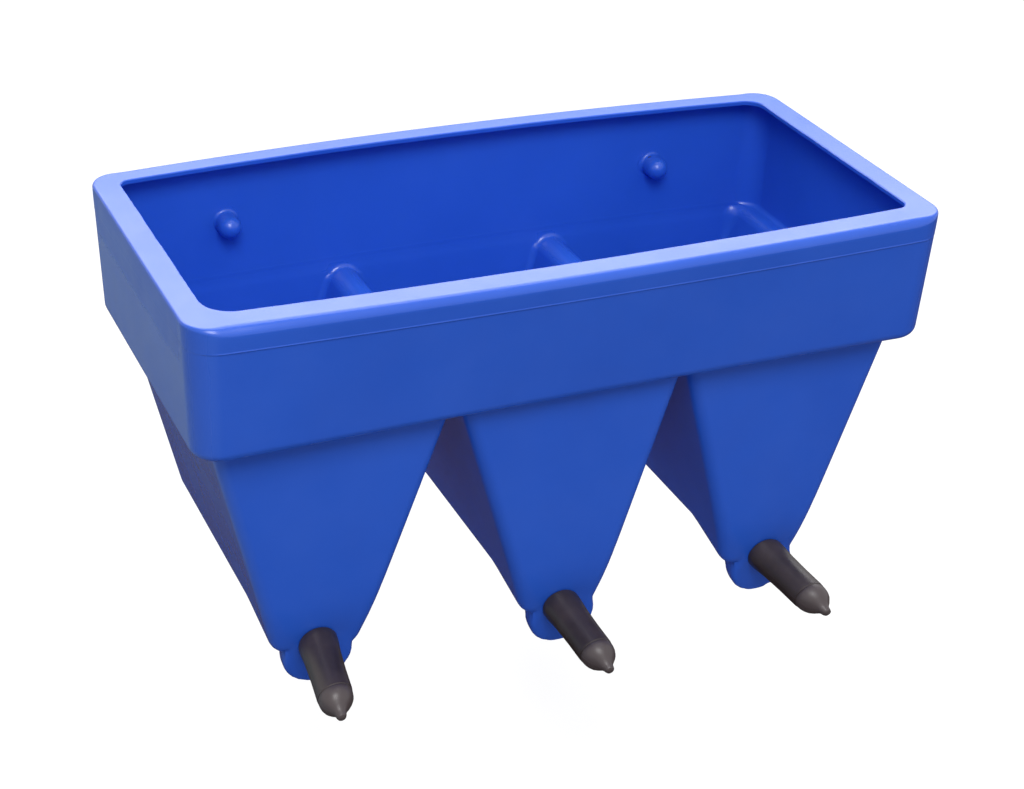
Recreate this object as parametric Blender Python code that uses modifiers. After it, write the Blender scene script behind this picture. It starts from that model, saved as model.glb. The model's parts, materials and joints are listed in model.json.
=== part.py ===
"""Multi-teat milk feeder: a one-piece moulded trough that hangs on a rail and feeds three calves.

The trough is a rectangular band with an inward rim. Three tapered compartments hang under it, each
ending in a rounded toe that carries a pull-through rubber teat. Two steel hangers are bolted to
threaded inserts that are moulded into the back wall.

Everything is laid out in the trough's own frame: x along its length, y towards its back, z up, with
zero at the middle of the rim's top. One empty carries that frame, so that the world's origin is
where the top of the rail lies, midway between the two hangers.
"""
import math

import bmesh
import bpy
from mathutils import Matrix, Vector

MM = 0.001
DEG = math.pi / 180.0

OBJECT_NAME = "milk_feeder"

# The band: the upper, rectangular part of the trough.
BAND_LENGTH = 720 * MM
BAND_WIDTH = 339 * MM
BAND_HEIGHT = 129 * MM
BAND_DRAFT = 4.4 * MM
BAND_CORNER_RADIUS = 27 * MM
BAND_FOOT_RADIUS = 10 * MM
RIM_EDGE_RADIUS = 8 * MM
WALL = 5 * MM

# How far the long walls bulge at the middle of their length.
FRONT_BULGE_AT_RIM = 9.7 * MM
FRONT_BULGE_AT_BAND_FOOT = -3.9 * MM
BACK_BULGE_AT_RIM = 18 * MM

# The opening that is cut in the rim, as the width of rim that it leaves, and its corner radii.
RIM_AT_ENDS = 25 * MM
RIM_AT_FRONT = 30 * MM
RIM_AT_BACK = 26 * MM
OPENING_RADII = (25 * MM, 12 * MM, 16 * MM, 10 * MM)

# The compartments, which taper downwards in the front view and run from front to back.
COMPARTMENT_COUNT = 3
COMPARTMENT_PITCH = 226 * MM
COMPARTMENT_WIDTH_TOP = 221 * MM
COMPARTMENT_WIDTH_FOOT = 91 * MM
COMPARTMENT_FOOT_DEPTH = 346 * MM
COMPARTMENT_SETBACK = 26 * MM
COMPARTMENT_BACK_LEAN = 12 * MM
COMPARTMENT_BACK_STEP = 0.6 * MM
COMPARTMENT_EDGE_RADIUS = 12 * MM
COMPARTMENT_FOOT_RADIUS = 13 * MM
COMPARTMENT_TOP_FILLET = 7 * MM
KNEE_ABOVE_FOOT = 22 * MM

# The moulding has warped as it cooled, so the compartments differ a little, from left to right: how
# far each foot has moved to the right, its front forward and its foot down, how far its toe lies to
# the right of its foot's middle, and how far to the right of the toe's middle its teat hole was bored.
COMPARTMENT_LEANS = (-14 * MM, 0 * MM, -6 * MM)
COMPARTMENT_FORWARD = (0 * MM, 5 * MM, 0 * MM)
COMPARTMENT_DROPS = (-9 * MM, 5 * MM, 2 * MM)
TOE_OFFSETS = (0 * MM, 4 * MM, 7 * MM)
TEAT_HOLE_OFFSETS = (1 * MM, 0 * MM, 3 * MM)

# The nose: the front of the compartment's foot, which slopes down to the toe.
NOSE_DEPTH = 58 * MM
NOSE_TIP_DEPTH = 12 * MM
NOSE_DROP = 20 * MM
NOSE_RADIUS = 8 * MM
NOSE_PROUD = 0.4 * MM

# The toe: a round-ended barrel that droops as the teat does, with its flat face to the front.
TOE_AXIS_BELOW_FOOT = 28.5 * MM
TOE_RADIUS = 35.5 * MM
TOE_BARREL_LENGTH = 10 * MM
TOE_FACE_PROUD = 1 * MM
TOE_EDGE_RADIUS = 4 * MM
TEAT_HOLE_RISE = 8 * MM

# The teat: a pull-through rubber teat with a groove that seats in the toe's hole.
TEAT_DROOP = 11 * DEG
TEAT_LEANS = (-6 * DEG, 6 * DEG, 16 * DEG)
TEAT_LENGTH = 90 * MM
TEAT_SHOULDER_RADIUS = 18.5 * MM
TEAT_BARREL_RADIUS = 16.5 * MM
TEAT_NECK_RADIUS = 14 * MM
TEAT_TIP_LENGTH = 24 * MM
TEAT_SHOULDER_HEIGHT = 7 * MM
TEAT_SHOULDER_SLOPE = 6 * MM
TEAT_NIB_RADIUS = 4 * MM
TEAT_NIB_LENGTH = 6 * MM
TEAT_FLANGE_RADIUS = 20.5 * MM
TEAT_FLANGE_THICKNESS = 5 * MM
TEAT_BORE_RADIUS = 9 * MM
TEAT_BORE_TAPER = 18 * MM
TEAT_END_WALL = 14 * MM

# The moulded seats for the hangers: a pad outside the back wall and a blind boss inside it.
HANGER_SPACING = 458 * MM
BOLT_DEPTH = 64 * MM
PAD_WIDTH = 62 * MM
PAD_ABOVE_BOLT = 36 * MM
PAD_BELOW_BOLT = 38 * MM
PAD_PROUD = 6 * MM
PAD_EDGE_RADIUS = 3 * MM
PAD_CORNER_RADIUS = 10 * MM
BOSS_RADIUS = 11 * MM
BOSS_LENGTH = 14 * MM
BOSS_FOOT_RADIUS = 4 * MM

# The threaded insert, the bolt and its washers.
INSERT_RADIUS = 7 * MM
INSERT_LENGTH = 15 * MM
INSERT_THREAD_LENGTH = 13 * MM
BOLT_RADIUS = 4 * MM
BOLT_LENGTH = 20 * MM
BOLT_HEAD_ACROSS_FLATS = 13 * MM
BOLT_HEAD_HEIGHT = 5.3 * MM
FLAT_WASHER_RADIUS = 9 * MM
FLAT_WASHER_THICKNESS = 1.6 * MM
SPRING_WASHER_RADIUS = 7.2 * MM
SPRING_WASHER_THICKNESS = 2 * MM
SPRING_WASHER_SPLIT = 2.2 * MM
SPRING_WASHER_SLANT = 25 * DEG

# The hanger: a flat bar bent to hook over a rail.
HANGER_THICKNESS = 5 * MM
HANGER_WIDTH = 40 * MM
HANGER_RAIL_GAP = 62 * MM
HANGER_SEAT_DEPTH = 42 * MM
HANGER_PLATE_BELOW_BOLT = 26 * MM
HANGER_TONGUE_LENGTH = 55 * MM
HANGER_BEND_RADIUS = 8 * MM
HANGER_CORNER_RADIUS = 6 * MM

# Clearances and fineness.
SEAT_GAP = 0.3 * MM
THREAD_GAP = 0.3 * MM
SWIVEL_GAP = 0.5 * MM
JOIN_OVERLAP = 12 * MM
CUT_OVERLAP = 5 * MM
MIN_RADIUS = 1 * MM
MERGE = 0.00001
ROUND_STEPS = 24
LONG_WALL_STRIPS = 12
COMPARTMENT_STRIPS = 3
CORNER_SEGMENTS = 5
EDGE_SEGMENTS = 3
SHARP_ANGLE = 35 * DEG

HALF_LENGTH = BAND_LENGTH / 2
HALF_WIDTH = BAND_WIDTH / 2
COMPARTMENT_HEIGHT = COMPARTMENT_FOOT_DEPTH - BAND_HEIGHT
COMPARTMENT_TAPER = (COMPARTMENT_WIDTH_TOP - COMPARTMENT_WIDTH_FOOT) / 2 / COMPARTMENT_HEIGHT
COMPARTMENT_FRONT = -(HALF_WIDTH - BAND_DRAFT - COMPARTMENT_SETBACK)
TEAT_DIRECTION = Vector((0, -math.cos(TEAT_DROOP), -math.sin(TEAT_DROOP)))
OUTWARD = Vector((0, 1, 0))
SIDES = (("left", -1), ("right", 1))


def bulge_share(x):
    """Share of a wall's full bulge at x: one at the middle, nothing at the ends, a parabola between."""
    return max(1 - (x / HALF_LENGTH) ** 2, 0.0)


def front_bulge(x, z):
    """How far the band's front wall stands forward of its straight place, changing evenly with depth."""
    depth_share = min(max(-z / BAND_HEIGHT, 0.0), 1.0)
    at_foot = FRONT_BULGE_AT_BAND_FOOT
    return bulge_share(x) * (FRONT_BULGE_AT_RIM + (at_foot - FRONT_BULGE_AT_RIM) * depth_share)


def back_bulge(x, z):
    """How far the back wall stands back of its straight place, fading evenly to nothing at the feet."""
    depth_share = min(max(-z / COMPARTMENT_FOOT_DEPTH, 0.0), 1.0)
    return bulge_share(x) * BACK_BULGE_AT_RIM * (1 - depth_share)


def draft_at(z):
    """How far the band's walls have drawn in at a height."""
    return BAND_DRAFT * -z / BAND_HEIGHT


def back_wall_y(x, z):
    """The outside of the band's back wall."""
    return HALF_WIDTH - draft_at(z) + back_bulge(x, z)


def pad_face_y():
    """The flat outer face of both hanger pads."""
    return back_wall_y(HANGER_SPACING / 2, -BOLT_DEPTH) + PAD_PROUD


def rail_y():
    """The middle of the gap in which the rail lies."""
    return pad_face_y() + SEAT_GAP + HANGER_THICKNESS + HANGER_RAIL_GAP / 2


class Compartment:
    """One compartment's name and place, as the cooled moulding has it. Its heights are negative."""

    def __init__(self, index):
        self.name = ("left", "middle", "right")[index] if COMPARTMENT_COUNT == 3 else str(index + 1)
        self.top_middle = (index - (COMPARTMENT_COUNT - 1) / 2) * COMPARTMENT_PITCH
        self.lean = COMPARTMENT_LEANS[index % len(COMPARTMENT_LEANS)]
        self.front = COMPARTMENT_FRONT - COMPARTMENT_FORWARD[index % len(COMPARTMENT_FORWARD)]
        self.foot = -COMPARTMENT_FOOT_DEPTH - COMPARTMENT_DROPS[index % len(COMPARTMENT_DROPS)]
        self.knee = self.foot + KNEE_ABOVE_FOOT
        self.toe_offset = TOE_OFFSETS[index % len(TOE_OFFSETS)]
        self.hole_offset = TEAT_HOLE_OFFSETS[index % len(TEAT_HOLE_OFFSETS)]
        self.teat_lean = TEAT_LEANS[index % len(TEAT_LEANS)]

    def middle(self, z):
        """The x of its middle at a height below the band."""
        return self.top_middle + self.lean * max(-z - BAND_HEIGHT, 0) / COMPARTMENT_HEIGHT

    def half_width(self, z):
        """Half its width at a height, which goes on narrowing below its foot."""
        return COMPARTMENT_WIDTH_TOP / 2 - COMPARTMENT_TAPER * (-z - BAND_HEIGHT)

    def front_at(self, z):
        """Its front, which leans back below its knee, square to the teat."""
        return self.front + max(self.knee - z, 0) * math.tan(TEAT_DROOP)

    def toe_face(self, across=0.0, up=0.0):
        """A point on the toe's flat face, from the middle of the toe."""
        axis_z = self.foot - TOE_AXIS_BELOW_FOOT
        middle = Vector((self.middle(axis_z) + self.toe_offset, self.front_at(axis_z), axis_z))
        up_the_face = Vector((0, -math.sin(TEAT_DROOP), math.cos(TEAT_DROOP)))
        return middle + TEAT_DIRECTION * TOE_FACE_PROUD + Vector((across, 0, 0)) + up_the_face * up

    def toe_frame(self):
        """The toe barrel's frame, with z straight out of its face."""
        return axis_frame(self.toe_face(), TEAT_DIRECTION)

    def teat_frame(self):
        """The teat's frame, with z straight out of its hole."""
        return axis_frame(self.toe_face(self.hole_offset, TEAT_HOLE_RISE), TEAT_DIRECTION)


def compartments():
    """The compartments, from left to right."""
    return [Compartment(index) for index in range(COMPARTMENT_COUNT)]


def fresh_collection(name):
    """A new collection of that name, linked to the scene."""
    collection = bpy.data.collections.new(name)
    bpy.context.scene.collection.children.link(collection)
    return collection


def make_material(name, colour, roughness, metallic=0.0):
    """A plain principled material."""
    material = bpy.data.materials.new(name)
    material.use_nodes = True
    shader = material.node_tree.nodes["Principled BSDF"]
    shader.inputs["Base Color"].default_value = (*colour, 1.0)
    shader.inputs["Roughness"].default_value = roughness
    shader.inputs["Metallic"].default_value = metallic
    material.diffuse_color = (*colour, 1.0)
    return material


def place_mesh(name, bm, collection, parent, material=None, matrix=None):
    """Turns a bmesh into a named, smoothly shaded object under the given empty."""
    bmesh.ops.recalc_face_normals(bm, faces=bm.faces)
    mesh = bpy.data.meshes.new(name)
    bm.to_mesh(mesh)
    bm.free()
    mesh.shade_smooth()
    mesh.set_sharp_from_angle(angle=SHARP_ANGLE)
    item = bpy.data.objects.new(name, mesh)
    collection.objects.link(item)
    item.parent = parent
    if matrix is not None:
        item.matrix_local = matrix
    if material is not None:
        mesh.materials.append(material)
    return item


def add_boolean(target, operand, operation):
    """Joins the operand to the target, or cuts it out, and marks the operand as a guide."""
    operand.hide_render = True
    operand.display_type = "WIRE"
    modifier = target.modifiers.new(operation.title(), "BOOLEAN")
    modifier.operation = operation
    modifier.solver = "EXACT"
    modifier.object = operand


def even_shading(item):
    """Lets the flat faces of a joined shape keep flat shading beside its rounded edges."""
    item.modifiers.new("Even shading", "WEIGHTED_NORMAL").keep_sharp = True


def axis_frame(point, direction):
    """A frame at the point with its z axis along the direction and its x axis level."""
    z_axis = Vector(direction).normalized()
    x_axis = Vector((0, 0, 1)).cross(z_axis).normalized()
    frame = Matrix((x_axis, z_axis.cross(x_axis), z_axis)).transposed().to_4x4()
    frame.translation = point
    return frame


def round_corner(centre_radius, centre_height, radius, start, end, segments):
    """Points on a round corner of a turned profile, by angle from the outward direction."""
    points = []
    for index in range(segments + 1):
        angle = start + (end - start) * index / segments
        points.append((centre_radius + radius * math.cos(angle), centre_height + radius * math.sin(angle)))
    return points


def spun(profile):
    """A turned solid about z, from (radius, height) points that run down its outer side."""
    bm = bmesh.new()
    points = [bm.verts.new((radius, 0, height)) for radius, height in profile]
    edges = [bm.edges.new(pair) for pair in zip(points, points[1:])]
    bmesh.ops.spin(bm, geom=points + edges, cent=(0, 0, 0), axis=(0, 0, 1), angle=2 * math.pi,
                   steps=ROUND_STEPS, use_merge=True)
    bmesh.ops.remove_doubles(bm, verts=bm.verts, dist=MERGE)
    return bm


def corner_arcs(left, right, front, back, radii, segments):
    """The round corners of a rectangle as lists of (x, y), from the front left one anticlockwise."""
    corners = ((left, front, 1, 1, 180), (right, front, -1, 1, 270), (right, back, -1, -1, 0),
               (left, back, 1, -1, 90))
    arcs = []
    for (x, y, inward_x, inward_y, start), radius in zip(corners, radii):
        angles = [(start + 90 * index / segments) * DEG for index in range(segments + 1)]
        arcs.append([(x + radius * (inward_x + math.cos(angle)), y + radius * (inward_y + math.sin(angle)))
                     for angle in angles])
    return arcs


def section(left, right, front, back, radii, z, strips, segments, front_bulges=True):
    """One level section of the trough: a rectangle with round corners and bulging long sides.

    Its points run round it, starting at the front left corner. The radii are those of the front
    left, front right, back right and back left corners. The front and back are cut into strips.
    """
    arcs = corner_arcs(left, right, front, back, radii, segments)
    outline = []
    for index, arc in enumerate(arcs):
        outline += arc
        following = arcs[(index + 1) % 4]
        if index % 2 == 0:
            start_x, end_x, side_y = arc[-1][0], following[0][0], arc[-1][1]
            outline += [(start_x + (end_x - start_x) * step / strips, side_y) for step in range(1, strips)]
    points = []
    for x, y in outline:
        if y > 0:
            y += back_bulge(x, z) * y / back
        elif front_bulges:
            y -= front_bulge(x, z) * y / front
        points.append((x, y, z))
    return points


def plain_section(left, right, front, back, radius, z):
    """One level section with straight sides and four like corners."""
    arcs = corner_arcs(left, right, front, back, (radius,) * 4, EDGE_SEGMENTS)
    return [(x, y, z) for arc in arcs for x, y in arc]


def loft(sections):
    """A closed solid through the sections, from the lowest to the highest, with flat ends."""
    bm = bmesh.new()
    rings = [[bm.verts.new(point) for point in points] for points in sections]
    for lower, upper in zip(rings, rings[1:]):
        for index in range(len(lower)):
            following = (index + 1) % len(lower)
            bm.faces.new((lower[index], lower[following], upper[following], upper[index]))
    bm.faces.new(rings[0])
    bm.faces.new(rings[-1])
    return bm


def quarter_angles():
    """The angles at which a rounded edge has its levels."""
    return [90 * DEG * index / EDGE_SEGMENTS for index in range(EDGE_SEGMENTS + 1)]


def rounded_foot(z, radius):
    """Levels of a rounded bottom edge from z up, each with how far the wall is drawn in there."""
    return [(z + radius * (1 - math.cos(angle)), radius * (1 - math.sin(angle)))
            for angle in quarter_angles()]


def rounded_top(z, radius):
    """Levels of a rounded top edge up to z. A negative radius flares the wall outwards instead."""
    height = abs(radius)
    return [(z - height * (1 - math.sin(angle)), radius * (1 - math.cos(angle)))
            for angle in quarter_angles()]


def band_bmesh(inset):
    """The band's body, or with an inset its hollow, with rounded edges at the rim and the foot."""
    top = -inset
    foot = -BAND_HEIGHT + inset
    top_radius = max(RIM_EDGE_RADIUS - inset, MIN_RADIUS)
    foot_radius = max(BAND_FOOT_RADIUS - inset, MIN_RADIUS)
    sections = []
    for z, drawn_in in rounded_foot(foot, foot_radius) + rounded_top(top, top_radius):
        half_x = HALF_LENGTH - inset - draft_at(z) - drawn_in
        half_y = HALF_WIDTH - inset - draft_at(z) - drawn_in
        radius = max(BAND_CORNER_RADIUS - inset - drawn_in, MIN_RADIUS)
        sections.append(section(-half_x, half_x, -half_y, half_y, (radius,) * 4, z, LONG_WALL_STRIPS,
                                CORNER_SEGMENTS))
    return loft(sections)


def compartment_bmesh(compartment, inset):
    """A compartment's body, or with an inset its hollow.

    It is rounded at the foot and flares at its top into the band's floor, but not at the back, where
    it carries on from the band's wall. Below its knee the front leans back, square to the teat.
    """
    floor = -BAND_HEIGHT + inset
    foot_radius = max(COMPARTMENT_FOOT_RADIUS - inset, MIN_RADIUS)
    flare = COMPARTMENT_TOP_FILLET
    side_inset = inset * math.hypot(1, COMPARTMENT_TAPER)
    levels = rounded_foot(compartment.foot + inset, foot_radius) + [(compartment.knee, 0)]
    levels += rounded_top(floor, -flare) + [(floor + JOIN_OVERLAP, -flare)]
    sections = []
    for z, drawn_in in levels:
        middle = compartment.middle(z)
        half = compartment.half_width(min(z, floor)) - side_inset - drawn_in
        front = compartment.front_at(z) + inset + drawn_in
        lean = COMPARTMENT_BACK_LEAN * max(-z - BAND_HEIGHT, 0) / COMPARTMENT_HEIGHT
        back = HALF_WIDTH - BAND_DRAFT - COMPARTMENT_BACK_STEP - lean - inset - max(drawn_in, 0)
        radius = max(COMPARTMENT_EDGE_RADIUS - inset - drawn_in, MIN_RADIUS)
        sections.append(section(middle - half, middle + half, front, back, (radius,) * 4, z,
                                COMPARTMENT_STRIPS, EDGE_SEGMENTS, front_bulges=False))
    return loft(sections)


def nose_bmesh(compartment, inset):
    """The sloping front of a compartment's foot, or with an inset its hollow.

    Its sides and front carry on from the compartment's. Its underside rises towards the back, from the
    nose's tip to the foot and on into the compartment.
    """
    run_per_rise = (NOSE_DEPTH - NOSE_TIP_DEPTH) / NOSE_DROP
    slope_inset = inset * math.hypot(1, 1 / run_per_rise)
    side_inset = inset * math.hypot(1, COMPARTMENT_TAPER)
    bottom = compartment.foot - NOSE_DROP + inset
    radius = max(NOSE_RADIUS - inset, MIN_RADIUS)
    sections = []
    for z, drawn_in in rounded_foot(bottom, radius) + [(compartment.foot + JOIN_OVERLAP, 0)]:
        middle = compartment.middle(z)
        half = compartment.half_width(z) + NOSE_PROUD - side_inset - drawn_in
        front = compartment.front_at(z) - NOSE_PROUD + inset + drawn_in
        depth = NOSE_DEPTH + (z - compartment.foot - slope_inset) * run_per_rise
        back = max(compartment.front + depth - drawn_in, front + 2 * radius)
        corner = max(COMPARTMENT_EDGE_RADIUS - inset - drawn_in, MIN_RADIUS)
        corner = min(corner, (back - front) / 2 - MIN_RADIUS / 2)
        sections.append(plain_section(middle - half, middle + half, front, back, corner, z))
    return loft(sections)


def toe_profile(inset):
    """The toe's barrel with its round inner end, or with an inset its hollow."""
    radius = TOE_RADIUS - inset
    edge = max(TOE_EDGE_RADIUS - inset, MIN_RADIUS)
    rounded_edge = round_corner(radius - edge, -inset - edge, edge, 90 * DEG, 0, EDGE_SEGMENTS)
    rounded_end = round_corner(0, -TOE_BARREL_LENGTH, radius, 0, -90 * DEG, CORNER_SEGMENTS + 1)
    return [(0, -inset)] + rounded_edge + rounded_end[:-1] + [(0, -TOE_BARREL_LENGTH - radius)]


def plug_profile(radius, above, below):
    """A plain round cutter about its axis."""
    return [(0, above), (radius, above), (radius, -below), (0, -below)]


def boss_profile():
    """The blind boss inside the back wall: a dome, a barrel, and a foot that flares into the wall."""
    dome = round_corner(0, BOSS_LENGTH, BOSS_RADIUS, 90 * DEG, 0, CORNER_SEGMENTS)[1:]
    foot_centre = BOSS_RADIUS + BOSS_FOOT_RADIUS
    foot = round_corner(foot_centre, BOSS_FOOT_RADIUS, BOSS_FOOT_RADIUS, 180 * DEG, 270 * DEG, EDGE_SEGMENTS)
    return [(0, BOSS_LENGTH + BOSS_RADIUS)] + dome + foot + [(foot_centre, -WALL / 2), (0, -WALL / 2)]


def pad_bmesh(x_middle):
    """A hanger pad, buried in the back wall, with round corners and a rounded outer edge."""
    bm = bmesh.new()
    bmesh.ops.create_cube(bm, size=1)
    inner_y = HALF_WIDTH - BAND_DRAFT - WALL / 2
    face_y = pad_face_y()
    size = Matrix.Diagonal((PAD_WIDTH, face_y - inner_y, PAD_ABOVE_BOLT + PAD_BELOW_BOLT, 1))
    middle_z = -BOLT_DEPTH + (PAD_ABOVE_BOLT - PAD_BELOW_BOLT) / 2
    bmesh.ops.transform(bm, matrix=Matrix.Translation((x_middle, (face_y + inner_y) / 2, middle_z)) @ size,
                        verts=bm.verts)
    corners = [edge for edge in bm.edges if abs(edge.verts[0].co.y - edge.verts[1].co.y) > MERGE]
    bmesh.ops.bevel(bm, geom=corners, offset=PAD_CORNER_RADIUS, segments=EDGE_SEGMENTS, profile=0.5,
                    affect="EDGES")
    rim = [edge for edge in bm.edges if all(vertex.co.y > face_y - MERGE for vertex in edge.verts)]
    bmesh.ops.bevel(bm, geom=rim, offset=PAD_EDGE_RADIUS, segments=EDGE_SEGMENTS, profile=0.5,
                    affect="EDGES")
    return bm


def opening_bmesh():
    """The cutter for the rim's opening, which follows the bulging walls."""
    left = -HALF_LENGTH + RIM_AT_ENDS
    front = -HALF_WIDTH + RIM_AT_FRONT
    back = HALF_WIDTH - RIM_AT_BACK
    sections = []
    for z in (-WALL - CUT_OVERLAP, CUT_OVERLAP):
        outline = section(left, -left, front, back, OPENING_RADII, 0, LONG_WALL_STRIPS, CORNER_SEGMENTS)
        sections.append([(x, y, z) for x, y, _ in outline])
    return loft(sections)


def build_trough(collection, guides, parent, material):
    """The one-piece trough: outer forms joined, hollows cut, bosses added, then the openings cut."""
    trough = place_mesh("tub_shell", band_bmesh(0), collection, parent, material)

    def change(name, bm, operation, matrix=None):
        add_boolean(trough, place_mesh(name, bm, guides, parent, matrix=matrix), operation)

    bolt_xs = [sign * HANGER_SPACING / 2 for _, sign in SIDES]
    for compartment in compartments():
        change("compartment_body", compartment_bmesh(compartment, 0), "UNION")
        change("nose_body", nose_bmesh(compartment, 0), "UNION")
        change("toe_body", spun(toe_profile(0)), "UNION", compartment.toe_frame())
    for x in bolt_xs:
        change("hanger_pad", pad_bmesh(x), "UNION")
    change("band_hollow", band_bmesh(WALL), "DIFFERENCE")
    for compartment in compartments():
        change("compartment_hollow", compartment_bmesh(compartment, WALL), "DIFFERENCE")
        change("nose_hollow", nose_bmesh(compartment, WALL), "DIFFERENCE")
        change("toe_hollow", spun(toe_profile(WALL)), "DIFFERENCE", compartment.toe_frame())
    for x in bolt_xs:
        wall_face = Vector((x, back_wall_y(x, -BOLT_DEPTH) - WALL, -BOLT_DEPTH))
        change("boss", spun(boss_profile()), "UNION", axis_frame(wall_face, -OUTWARD))
        mouth = Vector((x, pad_face_y(), -BOLT_DEPTH))
        pocket = plug_profile(INSERT_RADIUS + SEAT_GAP, CUT_OVERLAP, INSERT_LENGTH + SEAT_GAP)
        change("insert_pocket", spun(pocket), "DIFFERENCE", axis_frame(mouth, OUTWARD))
    change("rim_opening", opening_bmesh(), "DIFFERENCE")
    for compartment in compartments():
        hole = plug_profile(TEAT_NECK_RADIUS + SEAT_GAP, CUT_OVERLAP, WALL + CUT_OVERLAP)
        change("teat_hole", spun(hole), "DIFFERENCE", compartment.teat_frame())
    even_shading(trough)


def teat_profile():
    """The teat: from the nib down its outside, round its neck and flange, and up its blind bore."""
    shoulder = SEAT_GAP
    flange_top = -WALL - SEAT_GAP
    flange_foot = flange_top - TEAT_FLANGE_THICKNESS
    tip = TEAT_LENGTH - TEAT_TIP_LENGTH
    nib_foot = TEAT_LENGTH - TEAT_NIB_LENGTH
    nib = round_corner(0, TEAT_LENGTH - TEAT_NIB_RADIUS, TEAT_NIB_RADIUS, 90 * DEG, 0, EDGE_SEGMENTS)[1:]
    nib = [(0, TEAT_LENGTH)] + nib + [(TEAT_NIB_RADIUS, nib_foot)]
    cone = [(TEAT_NIB_RADIUS + (TEAT_BARREL_RADIUS - TEAT_NIB_RADIUS) * math.sin(angle),
             tip + (nib_foot - tip) * math.cos(angle)) for angle in quarter_angles()[1:]]
    root = [(TEAT_BARREL_RADIUS, shoulder + TEAT_SHOULDER_HEIGHT + TEAT_SHOULDER_SLOPE),
            (TEAT_SHOULDER_RADIUS, shoulder + TEAT_SHOULDER_HEIGHT), (TEAT_SHOULDER_RADIUS, shoulder)]
    groove = [(TEAT_NECK_RADIUS, shoulder), (TEAT_NECK_RADIUS, flange_top)]
    flange = [(TEAT_FLANGE_RADIUS, flange_top), (TEAT_FLANGE_RADIUS, flange_foot)]
    bore_end = TEAT_LENGTH - TEAT_END_WALL
    bore = [(TEAT_BORE_RADIUS, flange_foot), (TEAT_BORE_RADIUS, bore_end - TEAT_BORE_TAPER),
            (TEAT_NIB_RADIUS, bore_end), (0, bore_end)]
    return nib + cone + root + groove + flange + bore


def build_teats(collection, parent, material):
    """One teat in each toe. Outside the toe each leans a little to one side, as soft rubber does."""
    for compartment in compartments():
        bm = spun(teat_profile())
        lean = math.tan(compartment.teat_lean)
        for vertex in bm.verts:
            vertex.co.x += max(vertex.co.z - SEAT_GAP, 0) * lean
        place_mesh("teat_" + compartment.name, bm, collection, parent, material, compartment.teat_frame())


def build_inserts(collection, parent, material):
    """The threaded inserts, flush with the pads, each with a blind bore for its bolt."""
    bore = BOLT_RADIUS + THREAD_GAP
    profile = [(0, -INSERT_THREAD_LENGTH), (bore, -INSERT_THREAD_LENGTH), (bore, 0), (INSERT_RADIUS, 0),
               (INSERT_RADIUS, -INSERT_LENGTH), (0, -INSERT_LENGTH)]
    for side, sign in SIDES:
        mouth = Vector((sign * HANGER_SPACING / 2, pad_face_y(), -BOLT_DEPTH))
        place_mesh("insert_" + side, spun(profile), collection, parent, material, axis_frame(mouth, OUTWARD))


def ring_profile(inner, outer, low, high):
    """A flat ring's section as a closed loop."""
    return [(inner, high), (outer, high), (outer, low), (inner, low), (inner, high)]


def build_fasteners(collection, guides, parent, steel):
    """A bolt, a flat washer and a split spring washer on each hanger, stacked outwards from it."""
    hole = BOLT_RADIUS + SEAT_GAP
    flat = SEAT_GAP + HANGER_THICKNESS + SEAT_GAP
    spring = flat + FLAT_WASHER_THICKNESS + SEAT_GAP
    head = spring + SPRING_WASHER_THICKNESS + SEAT_GAP
    for side, sign in SIDES:
        seat = axis_frame(Vector((sign * HANGER_SPACING / 2, pad_face_y(), -BOLT_DEPTH)), OUTWARD)
        flat_ring = ring_profile(hole, FLAT_WASHER_RADIUS, flat, flat + FLAT_WASHER_THICKNESS)
        place_mesh("flat_washer_" + side, spun(flat_ring), collection, parent, steel, seat)

        spring_ring = ring_profile(hole, SPRING_WASHER_RADIUS, spring, spring + SPRING_WASHER_THICKNESS)
        washer = place_mesh("spring_washer_" + side, spun(spring_ring), collection, parent, steel, seat)
        split = bmesh.new()
        bmesh.ops.create_cube(split, size=1)
        reach = SPRING_WASHER_RADIUS + CUT_OVERLAP
        place = Matrix.Translation((0, reach / 2, spring + SPRING_WASHER_THICKNESS / 2))
        through = SPRING_WASHER_THICKNESS + 2 * CUT_OVERLAP
        size = Matrix.Diagonal((SPRING_WASHER_SPLIT, reach, through, 1))
        bmesh.ops.transform(split, matrix=place @ Matrix.Rotation(SPRING_WASHER_SLANT, 4, "Y") @ size,
                            verts=split.verts)
        add_boolean(washer, place_mesh("washer_split", split, guides, parent, matrix=seat), "DIFFERENCE")

        hexagon = bmesh.new()
        corner_radius = BOLT_HEAD_ACROSS_FLATS / 2 / math.cos(30 * DEG)
        buried = BOLT_HEAD_HEIGHT / 2
        bmesh.ops.create_cone(hexagon, cap_ends=True, segments=6, radius1=corner_radius,
                              radius2=corner_radius, depth=BOLT_HEAD_HEIGHT,
                              matrix=Matrix.Translation((0, 0, head + buried)))
        bolt = place_mesh("hanger_bolt_" + side, hexagon, collection, parent, steel, seat)
        shank = plug_profile(BOLT_RADIUS, head + buried, BOLT_LENGTH - head)
        add_boolean(bolt, place_mesh("bolt_shank", spun(shank), guides, parent, matrix=seat), "UNION")


def hanger_path():
    """The middle line of the bent bar, as (outward, upward) from the bolt's mouth, round both bends."""
    plate = SEAT_GAP + HANGER_THICKNESS / 2
    crown = BOLT_DEPTH - HANGER_SEAT_DEPTH + HANGER_THICKNESS / 2
    tongue = plate + HANGER_THICKNESS + HANGER_RAIL_GAP
    bend = HANGER_BEND_RADIUS
    path = [(plate, -HANGER_PLATE_BELOW_BOLT)]
    path += round_corner(plate + bend, crown - bend, bend, 180 * DEG, 90 * DEG, CORNER_SEGMENTS)
    path += round_corner(tongue - bend, crown - bend, bend, 90 * DEG, 0, CORNER_SEGMENTS)
    path.append((tongue, crown - HANGER_TONGUE_LENGTH))
    return path


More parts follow.
